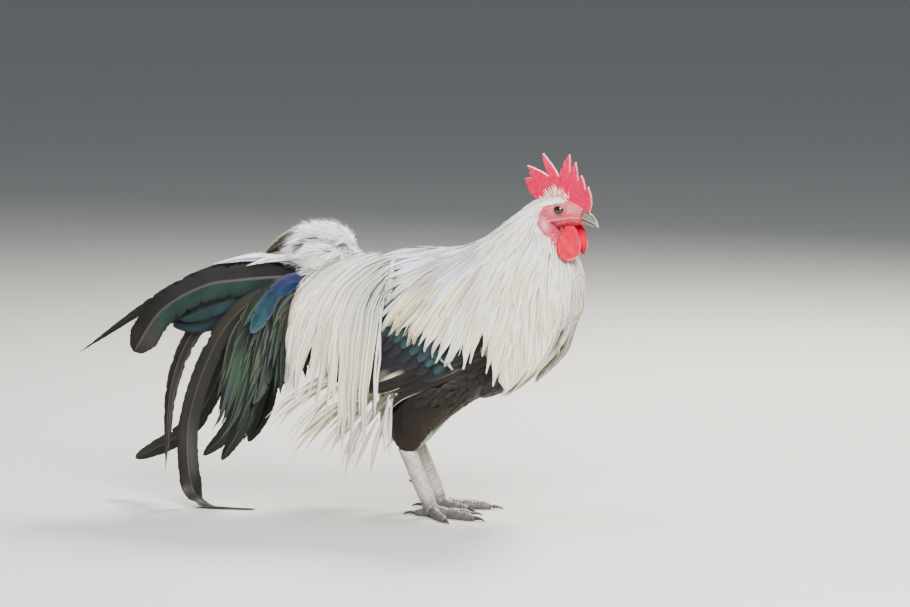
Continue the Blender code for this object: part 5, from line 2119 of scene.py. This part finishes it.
@dataclass
class Tail:
    """Sickles, main tail feathers and the fall of narrow coverts before them."""

    right: tuple[Quill, ...] = (
        Quill("hanging_feather", 3.2, 2, 18, 0.15,
              ((-146, 254), (-218, 240), (-266, 218), (-297, 188), (-319, 127), (-325, 36)),
              "#1B1A1A", "#211F1F", "#55524E"),
        Quill("tail_feather_2", 7, 4, 24, 0.5, ((-148, 260), (-222, 232), (-273, 210), (-313, 205)),
              "#151E22", "#1C2E33", "#0D0F10", "#313E3F"),
        Quill("tail_feather_1", 10.5, 6, 24, 0.6, ((-148, 265), (-207, 248), (-258, 230), (-302, 213)),
              "#182226", "#203439", "#0D0F10", "#313E3F"),
        Quill("upper_sickle", 14, 12, 39, 0.86,
              ((-148, 267), (-226, 260), (-274, 251), (-323, 222), (-355, 175)),
              "#191715", "#203530", "#141210", "#5E5952", tip="#2A221A", tip_from=0.72),
        Quill("main_sickle", 21.5, 15, 26, 0.55,
              ((-148, 272), (-226, 227), (-265, 171), (-289, 94), (-284, 24), (-256, 1), (-206, 1)),
              "#2C2B25", "#201F1A", "#151410", "#47443D", flat_from=0.62))
    coverts: tuple[Quill, ...] = (
        Quill("covert_1", 25, 10, 23, 0.5, ((-142, 265), (-190, 243), (-217, 154), (-236, 96), (-269, 60)),
              "#20261F", "#283B2D", "#15170F", tip="#171813", tip_from=0.55),
        Quill("covert_2", 28.5, 11, 22, 0.48,
              ((-140, 262), (-182, 241), (-206, 156), (-220, 103), (-246, 56)),
              "#222922", "#2A4030", "#151711", tip="#171813", tip_from=0.5),
        Quill("covert_3", 32, 12, 30, 0.45, ((-137, 258), (-172, 243), (-190, 190), (-207, 122)),
              "#1E2620", "#263A2C", "#11130F", "#3A4C3E"),
        Quill("covert_4", 35.5, 13, 24, 0.3, ((-133, 255), (-163, 240), (-173, 190), (-173, 135)),
              "#1E241F", "#23342A", "#11130F"),
        Quill("blue_covert", 39.5, 6, 22, 0.42, ((-136, 258), (-160, 261), (-184, 243), (-208, 203)),
              "#242450", "#1B3158", "#4E5E6A", "#293C5C", tip="#21434C", tip_from=0.3))
    left: tuple[Quill, ...] = (
        Quill("upper_sickle", 14, 12, 15, 0.1,
              ((-148, 273), (-215, 279), (-279, 263), (-342, 231), (-441, 165)),
              "#1A1918", "#1C1D1C", "#141313", "#2E2B28"),
        Quill("tail_feather_3", 17.8, 10, 30, 0.7, ((-148, 270), (-206, 266), (-268, 252), (-336, 205)),
              "#242120", "#2B3432", "#1A1918"),
        Quill("main_sickle", 21.5, 14, 24, 0.65,
              ((-148, 272), (-204, 247), (-249, 187), (-284, 116), (-316, 76), (-376, 43)),
              "#22211E", "#1C1B18", "#141312"))
    top: Quill = Quill("top_covert", 0, 0, 20, 0.3, ((-128, 303), (-162, 312), (-209, 287)),
                       "#332C25", "#221E1B", "#D8CDB8", "#6E6558")
    # White-blue vanes along the top of the tail, a painted highlight where light catches its upper edge
    highlight_vanes: tuple[Quill, ...] = (
        Quill("", 9, 8, 9, 0.2, ((-146, 276), (-182, 284), (-220, 285), (-262, 277)),
              "#E6EBF4", "#8E9CB4", "#F2F4F6"),
        Quill("", 12, 6, 8, 0.2, ((-140, 284), (-168, 287), (-196, 284), (-222, 276)),
              "#F2F2F0", "#C4CCDA", "#FFFFFF"))
    streak_colours: tuple[tuple[str, str], ...] = (
        ("#1B1D19", "#232C22"), ("#181917", "#1F211D"), ("#242B22", "#2B3F2F"), ("#2C2A23", "#22271F"),
        ("#1C2023", "#232E31"))
    fan_edge: Pairs = ((-146, 268), (-206, 235), (-238, 170), (-252, 110), (-262, 86))
    # Middle and half sizes of a painted emerald sheen on the fall of coverts
    sheen_patch: tuple[float, float, float, float] = (-226, 150, 14, 26)  # middle and half sizes
    tilt: float = 0.24  # how far the vanes lean, as the slopes of a roof
    twin_length: float = 0.95  # length of a left feather against its right twin
    streaks: int = 52  # narrow feathers in the fall of coverts, each side
    stations: int = 110
    floor_gap: float = 1.2  # least height of a shaft
    seed: int = 61

    def shaft(self, quill: Quill, side: float, share_of: float = 1.0) -> Lines:
        """The shaft line of one feather.

        Args:
            quill: the feather.
            side: -1 on the right, 1 on the left.
            share_of: share of its length that is kept.

        Returns:
            One line whose normals face outward.
        """
        fine = smooth_rows(quill.shaft, 240)
        run = np.concatenate([[0], np.cumsum(np.linalg.norm(np.diff(fine, axis=0), axis=1))])
        wanted = np.linspace(0, run[-1] * share_of, self.stations)
        x, z = np.interp(wanted, run, fine[:, 0]), np.interp(wanted, run, fine[:, 1])
        share = np.linspace(0, 1, self.stations)
        y = side * (quill.away + quill.gain * share**1.5)
        line = np.column_stack([x, y, np.maximum(z, self.floor_gap)])
        normal = np.broadcast_to(unit(np.array([0.0, side, self.tilt])), line.shape).copy()
        flat = smoothstep(quill.flat_from, quill.flat_from + 0.24, share)[:, None]
        normal = unit(normal * (1 - flat) + np.array([0.0, 0.0, 1.0]) * flat)
        return Lines(line[None], normal[None], np.array([wanted[-1]]), line[None, 0])

    def plume(self, coat: Coat, quill: Quill, side: float, rng: np.random.Generator, share_of: float = 1.0,
              columns: int = 13) -> None:
        """Adds one feather with a raised shaft and small splits in its edges.

        Args:
            coat: takes it.
            quill: the feather.
            side: -1 on the right, 1 on the left.
            rng: source of the splits.
            share_of: share of its length that is kept.
            columns: corners across.
        """
        line = self.shaft(quill, side, share_of)
        share = line.share
        width = self.outline(quill, share) * quill.width
        jag = 1 - 0.1 * rng.random(len(share))
        for _ in range(4):
            jag *= 1 - rng.uniform(0.1, 0.35) * bell(share - rng.uniform(0.25, 0.97), 0.008)
        coat.add_plume(line, width * jag, columns, 0.16, self.paint(quill, side))

    @staticmethod
    def outline(quill: Quill, share: np.ndarray) -> np.ndarray:
        """Width along the feather against its greatest."""
        rise = 0.22 + 0.78 * smoothstep(0.0, 0.22, share)
        start = 0.45 + 0.5 * quill.blunt
        left = np.clip((share - start) / (1 - start), 0, 1)
        taper = np.sqrt(np.maximum(1 - left**2, 0)) if quill.blunt > 0.4 else 1 - left**1.5
        return np.maximum(rise * taper, 0.04)

    @staticmethod
    def paint(quill: Quill, side: float) -> Paint:
        """Colours for one feather: a half above the shaft, a half below it, edges and shaft."""

        def tint(wide: np.ndarray, long: np.ndarray) -> np.ndarray:
            """Two halves, with the edge colour at the rim and the tip and the rib along the shaft."""
            above = smoothstep(-0.12, 0.12, wide * -side)
            base = painted(flood(quill.lower, wide.shape + (3,)), (quill.upper, above))
            if quill.tip:
                end = smoothstep(quill.tip_from, min(quill.tip_from + 0.45, 1.0), long)
                base = painted(base, (quill.tip, end))
            cloud = 1 + 0.16 * np.sin(long * 17 + wide * 2.3 + quill.away)
            cloud = cloud + 0.1 * np.sin(long * 41 + quill.width)
            return painted(base * cloud[..., None], (quill.edge, smoothstep(0.72, 1.0, np.abs(wide)) * 0.8),
                           (quill.edge, smoothstep(0.9, 1.0, long) * 0.6),
                           (quill.rib, bell(wide, 0.05) * (1 - 0.6 * long)))

        return tint

    def between(self, first: Quill, second: Quill, share: float, rng: np.random.Generator) -> Quill:
        """A narrow covert between two others."""
        a, b = smooth_rows(first.shaft, 6), smooth_rows(second.shaft, 6)
        shaft = a * (1 - share) + b * share
        shaft = shaft + np.outer(np.linspace(0.3, 1, 6), rng.normal(0, 3.5, 2))
        upper, lower = self.streak_colours[int(rng.integers(len(self.streak_colours)))]
        edge = "#5E6058" if rng.random() < 0.3 else "#131512"
        away = first.away * (1 - share) + second.away * share + rng.uniform(-1.5, 4.5)
        gain = (first.gain + second.gain) / 2 + rng.uniform(-3, 3)
        return Quill("", away, gain, rng.uniform(10, 19), rng.uniform(0.0, 0.38), tuple(map(tuple, shaft)),
                     upper, lower, edge, "#4E5A52")

    def gleam(self, fall: Coat) -> None:
        """Paints an emerald sheen, a painted highlight, where the fall of coverts bulges toward the light."""
        x, z, wide, tall = self.sheen_patch
        for place, tint in zip(fall.points, fall.tints):
            near = np.exp(-(((place[:, 0] - x) / wide) ** 2) - ((place[:, 2] - z) / tall) ** 2)
            # Painted highlight: emerald, brighter over lighter barbs, fading from the middle of the patch
            tint[:] = mix(tint, linear("#41644A") * (0.6 + 4 * tint.mean(axis=1, keepdims=True)), near * 0.65)

    def build(self, finish: Material, white: Material) -> None:
        """Makes the tail's pieces.

        Args:
            finish: black and green feather.
            white: white feather, for the vanes of painted highlight along the tail's top.
        """
        rng = np.random.default_rng(self.seed)
        for side_name, side in SIDES:
            on_right = side < 0
            quills = self.right if on_right else (*self.right[:3], *self.left)
            coat = Coat("tail_" + side_name, finish)
            for quill in quills:
                twin = not on_right and quill in self.right
                self.plume(coat, quill, side, rng, self.twin_length if twin else 1.0)
            coat.build("black_feather", *(f"{q.node}_{side_name}" for q in quills))
            fall = Coat("coverts_" + side_name, finish)
            for quill in self.coverts:
                self.plume(fall, quill, side, rng, 1.0 if on_right else self.twin_length)
            fan = (Quill("", 23, 12, 20, 0.3, self.fan_edge), *self.coverts[:4])
            for n in range(self.streaks):
                k = n % (len(fan) - 1)
                quill = self.between(fan[k], fan[k + 1], rng.uniform(-0.15, 1.15), rng)
                self.plume(fall, quill, side, rng, rng.uniform(0.4, 1.0), 7)
            self.gleam(fall)
            fall.build("green_feather", *(f"{q.node}_{side_name}" for q in self.coverts))
        top = Coat("top_covert_feather", finish)
        self.plume(top, self.top, -1.0, rng)
        top.build("white_feather", "top_covert")
        # Painted highlight: white-blue vanes on both sides along the top of the tail
        highlight_coat = Coat("lit_coverts", white)
        for quill in self.highlight_vanes:
            for _, side in SIDES:
                self.plume(highlight_coat, quill, side, rng)
        highlight_coat.build("white_feather")


@dataclass
class Leg:
    """A scaled shank and foot, with horn claws and spur."""

    side_name: str
    side: float
    hock: tuple[float, float, float] = (-36, 31, 92)
    ankle: tuple[float, float, float] = (-2, 31, 10)
    lag: float = 7.0  # how far the left leg stands behind the right
    plate: float = 5.4  # length of a shank plate
    toe_plate: float = 4.0
    cell: float = 0.62  # size of a cell of the leg's skin
    claw_cell: float = 0.4
    toe_ways: Pairs = ((-20, -28), (20, 5), (56, 38), (188, 176))  # right, left

    def point(self, place: tuple[float, float, float]) -> np.ndarray:
        """A place of the leg on its own side."""
        x, y, z = place
        return np.array([x - (self.lag if self.side > 0 else 0.0), self.side * y, z])

    def scales(self, points: np.ndarray, normals: np.ndarray) -> np.ndarray:
        """Height of the scale pattern: plates with grooves between them.

        Args:
            points: corners of the leg.
            normals: their normals.

        Returns:
            Heights from 0 in a groove to 1 on a plate.
        """
        top, foot = self.point(self.hock), self.point(self.ankle)
        axis = unit(foot - top)
        along = (points - top) @ axis
        radial = points - top - along[:, None] * axis
        ahead = unit(np.cross(np.array([0.0, 1.0, 0.0]), axis))
        ahead = ahead * np.sign(ahead[0])
        angle = np.arctan2(radial[:, 1], radial @ ahead)
        column = np.where(angle * self.side > 0.1, 0.5, 0.0)
        wave = (along / self.plate + column + 0.18 * np.cos(angle * 2)) % 1.0
        front = smoothstep(0.0, 0.14, np.minimum(wave, 1 - wave))
        front = front * smoothstep(0.03, 0.16, np.abs(angle - 0.1))
        small = np.stack([along / 2.6, radial[:, 1] / 2.4, (radial @ ahead) / 2.4], axis=1)
        cells = np.abs(np.sin(small[:, 0] * math.pi))
        cells = cells * np.abs(np.sin((small[:, 1] + 0.5 * small[:, 0]) * math.pi))
        behind = smoothstep(1.5, 1.9, np.abs(angle))
        shank = front * (1 - behind) + smoothstep(0.05, 0.4, cells) * behind
        flat = points - foot
        best = np.full(len(points), 1e9)
        toe = np.zeros(len(points))
        for pair in self.toe_ways:
            heading = self.side * math.radians(pair[0 if self.side < 0 else 1])
            way = np.array([math.cos(heading), math.sin(heading), 0.0])
            out = flat @ way
            aside = np.abs(flat[:, 0] * -way[1] + flat[:, 1] * way[0]) + np.where(out < 0, 50, 0)
            mine = aside < best
            best = np.minimum(best, aside)
            step = (out / self.toe_plate) % 1.0
            toe = np.where(mine, smoothstep(0.0, 0.16, np.minimum(step, 1 - step)), toe)
        pads = smoothstep(0.1, 0.5, 0.5 + 0.5 * ripple(points, 2.6, 41, 12))
        toe = np.where(normals[:, 2] > 0.05, toe, pads)
        low = 1 - smoothstep(12, 17, points[:, 2])
        return shank * (1 - low) + toe * low

    def build(self, scale: Material, horn: Material) -> None:
        """Makes the scaled leg and its horn parts."""
        name = self.side_name
        sources = [softened("shank_" + name, 1, 0.35), softened("foot_" + name, 1, 0.35)]
        core = sources[0]
        places = mesh_points(core)
        swell = 0.5 + 1.3 * smoothstep(95, 50, places[:, 2:]) * smoothstep(12, 34, places[:, 2:])
        put_points(core, places + mesh_normals(core) * swell)
        obj = remeshed("scaled_leg_" + name, sources, self.cell, 4)
        discard(sources)
        points, normals = mesh_points(obj), mesh_normals(obj)
        height = self.scales(points, normals)
        moved = points + normals * (0.42 * height + 0.08 * ripple(points, 1.6, 42))[:, None]
        moved[:, 2] = np.maximum(moved[:, 2], 0.05)
        put_points(obj, moved)
        share = smoothstep(26, 9, points[:, 2])
        pale = 0.4 * (0.5 + 0.5 * ripple(points, 9, 43)) * height * (1 - 0.8 * share)
        tint = painted(flood("#B3A9A1", points.shape), ("#535152", share), ("#CFC8BE", pale))
        grain = 0.5 + 0.5 * ripple(points, 2.2, 44, 12)
        tint = tint * (0.68 + 0.2 * height + 0.18 * grain)[:, None]
        set_tint(obj, tint)
        refinish(obj, scale)
        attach(obj, "root")
        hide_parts("shank_" + name, "foot_" + name)
        nodes = [f"claw_{toe}_{name}" for toe in ("inner", "middle", "outer", "hind")] + ["spur_" + name]
        parts = [softened(node, 2, 0.3) for node in nodes]
        claws = remeshed("claws_" + name, parts, self.claw_cell, 3)
        discard(parts)
        spot = mesh_points(claws)
        set_tint(claws, painted(flood("#3A3734", spot.shape), ("#8C857A", smoothstep(14, 26, spot[:, 2]))))
        refinish(claws, horn)
        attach(claws, "root")
        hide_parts(*nodes)


@dataclass
class Studio:
    """Floor, soft lights and camera."""

    azimuth: float = 15.0
    elevation: float = 6.0
    distance: float = 4.6
    lens: float = 162.0
    aim_right: float = 0.017
    aim_height: float = 0.236
    floor_reach: float = 60.0  # in metres
    sky: str = "#AEB6BE"
    sky_strength: float = 0.45

    def back(self) -> np.ndarray:
        """The way from the bird to the camera."""
        a, e = math.radians(self.azimuth), math.radians(self.elevation)
        return np.array([math.sin(a) * math.cos(e), -math.cos(a) * math.cos(e), math.sin(e)])

    def camera(self) -> None:
        """Sets the scene's camera."""
        a = math.radians(self.azimuth)
        aim = STANCE.origin + np.array([math.cos(a), math.sin(a), 0]) * self.aim_right
        aim[2] += self.aim_height / math.cos(math.radians(self.elevation))
        data = bpy.data.cameras.new("view")
        data.lens = self.lens
        data.sensor_width = 36.0
        obj = linked("view", data)
        obj.location = aim + self.back() * self.distance
        obj.rotation_euler = Vector(-self.back()).to_track_quat("-Z", "Y").to_euler()
        bpy.context.scene.camera = obj

    def lamp(self, name: str, place: tuple[float, float, float], aim: tuple[float, float, float],
             size: float, power: float, colour: str) -> None:
        """Adds a square soft light.

        Args:
            name: its name.
            place: where it is, in metres from the stance point.
            aim: the place that it faces.
            size: length of its side.
            power: in watts.
            colour: its sRGB colour.
        """
        data = bpy.data.lights.new(name, "AREA")
        data.size = size
        data.energy = power
        data.color = tuple(linear(colour))
        obj = linked(name, data)
        obj.location = Vector(place)
        obj.rotation_euler = (Vector(aim) - Vector(place)).to_track_quat("-Z", "Y").to_euler()

    def build(self) -> None:
        """Makes the floor, the lights, the surroundings and the camera."""
        made, tree, shader = blank_material("floor_paint")
        place = add(tree, "ShaderNodeTexCoord").outputs["Object"]
        settings = {"Vector": place, "Scale": 60.0, "Detail": 6.0}
        noise = add(tree, "ShaderNodeTexNoise", settings).outputs["Fac"]
        low, high = (*linear("#B9B8B4"), 1.0), (*linear("#C4C3BF"), 1.0)
        tone = add(tree, "ShaderNodeMix", {"Factor": noise, 6: low, 7: high}, data_type="RGBA").outputs[2]
        feed(tree, shader, {"Base Color": tone, "Roughness": 0.7})
        mesh = bpy.data.meshes.new("floor")
        reach = self.floor_reach
        mesh.from_pydata([(-reach, -reach, 0), (reach, -reach, 0), (reach, reach, 0), (-reach, reach, 0)], [],
                         [(0, 1, 2, 3)])
        mesh.materials.append(made)
        floor = linked("floor", mesh)
        self.lamp("key", (1.05, -1.85, 1.8), (0.0, 0.0, 0.2), 1.4, 187.0, "#FFFDF8")
        self.lamp("rim", (0.5, 1.7, 1.9), (0.0, 0.0, 0.25), 0.7, 170.0, "#FFFAF0")
        self.lamp("top", (-0.5, 0.1, 2.4), (0.0, 0.0, 0.2), 1.4, 34.0, "#EEF3FF")
        world = bpy.data.worlds.new("studio")
        world.use_nodes = True
        around = world.node_tree.nodes["Background"]
        feed(world.node_tree, around, {"Color": (*linear(self.sky), 1.0), "Strength": self.sky_strength})
        bpy.context.scene.world = world
        self.camera()


SKIN = SkinFinish("living_skin")
HORN = HornFinish("bill_horn", 0.52)
EYE = EyeFinish()
WHITE = FeatherFinish("white_feather_keratin", 0.5, sheen=0.25, barb_contrast=0.1, shaft_colour="#FBF8EE")
DOWN = FeatherFinish("white_down", 0.8, sheen=0.3, barb_pitch=0.9, barb_contrast=0.06, shaft_share=0.0)
DARK = FeatherFinish("black_feather_keratin", 0.52, shine=0.25, barb_contrast=0.3, shaft_share=0.04,
                     shaft_colour="#3A332D")
SHEEN = FeatherFinish("glossy_black_feather", 0.38, metallic=0.2, shine=0.32, barb_contrast=0.3,
                      shaft_share=0.0)
SCALE = SkinFinish("leg_scale", 0.45, 0.5, 0.9, 0.08, 0.08)
CLAW = HornFinish("claw_horn", 0.4)


def main() -> None:
    """Builds every piece in order."""
    logging.basicConfig(level=logging.INFO, format="%(name)s: %(message)s")
    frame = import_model()
    STANCE.measure()
    LOG.info("frame with %d nodes, stance point %s", len(frame["nodes"]), STANCE.origin)
    Studio().build()
    white, down, dark, sheen = WHITE.build(), DOWN.build(), DARK.build(), SHEEN.build()
    saddle = ("saddle_right", "saddle_left")
    cape = ("head", "neck", "hackle_cape")
    collar = Guide("collar_guide", (*cape, *FLESH), cape)
    back = Guide("back_guide", (*saddle, "hackle_cape", "tail_base", *FLESH),
                 (*saddle, "trunk", "hackle_cape"))
    rump = Guide("rump_guide", ("rump_tuft", "tail_base", "trunk"))
    body = Guide("body_guide", FLESH, (), 2.6, 5)
    form = HeadForm()
    skin = Skin(form).build(SKIN.build())
    Eyes(form).build(EYE.build())
    Bill(form).build(HORN.build())
    HeadFeathers(form).build(Guide.over(skin), white)
    Hackle().build(collar, white)
    Saddle().build(back, white)
    Rump().build(rump, down)
    BodyPlumage().build(body, collar, dark)
    Wing().build(body, sheen)
    Tail().build(sheen, white)
    scale, claw = SCALE.build(), CLAW.build()
    for side_name, side in SIDES:
        Leg(side_name, side).build(scale, claw)


if __name__ == "__main__":
    main()
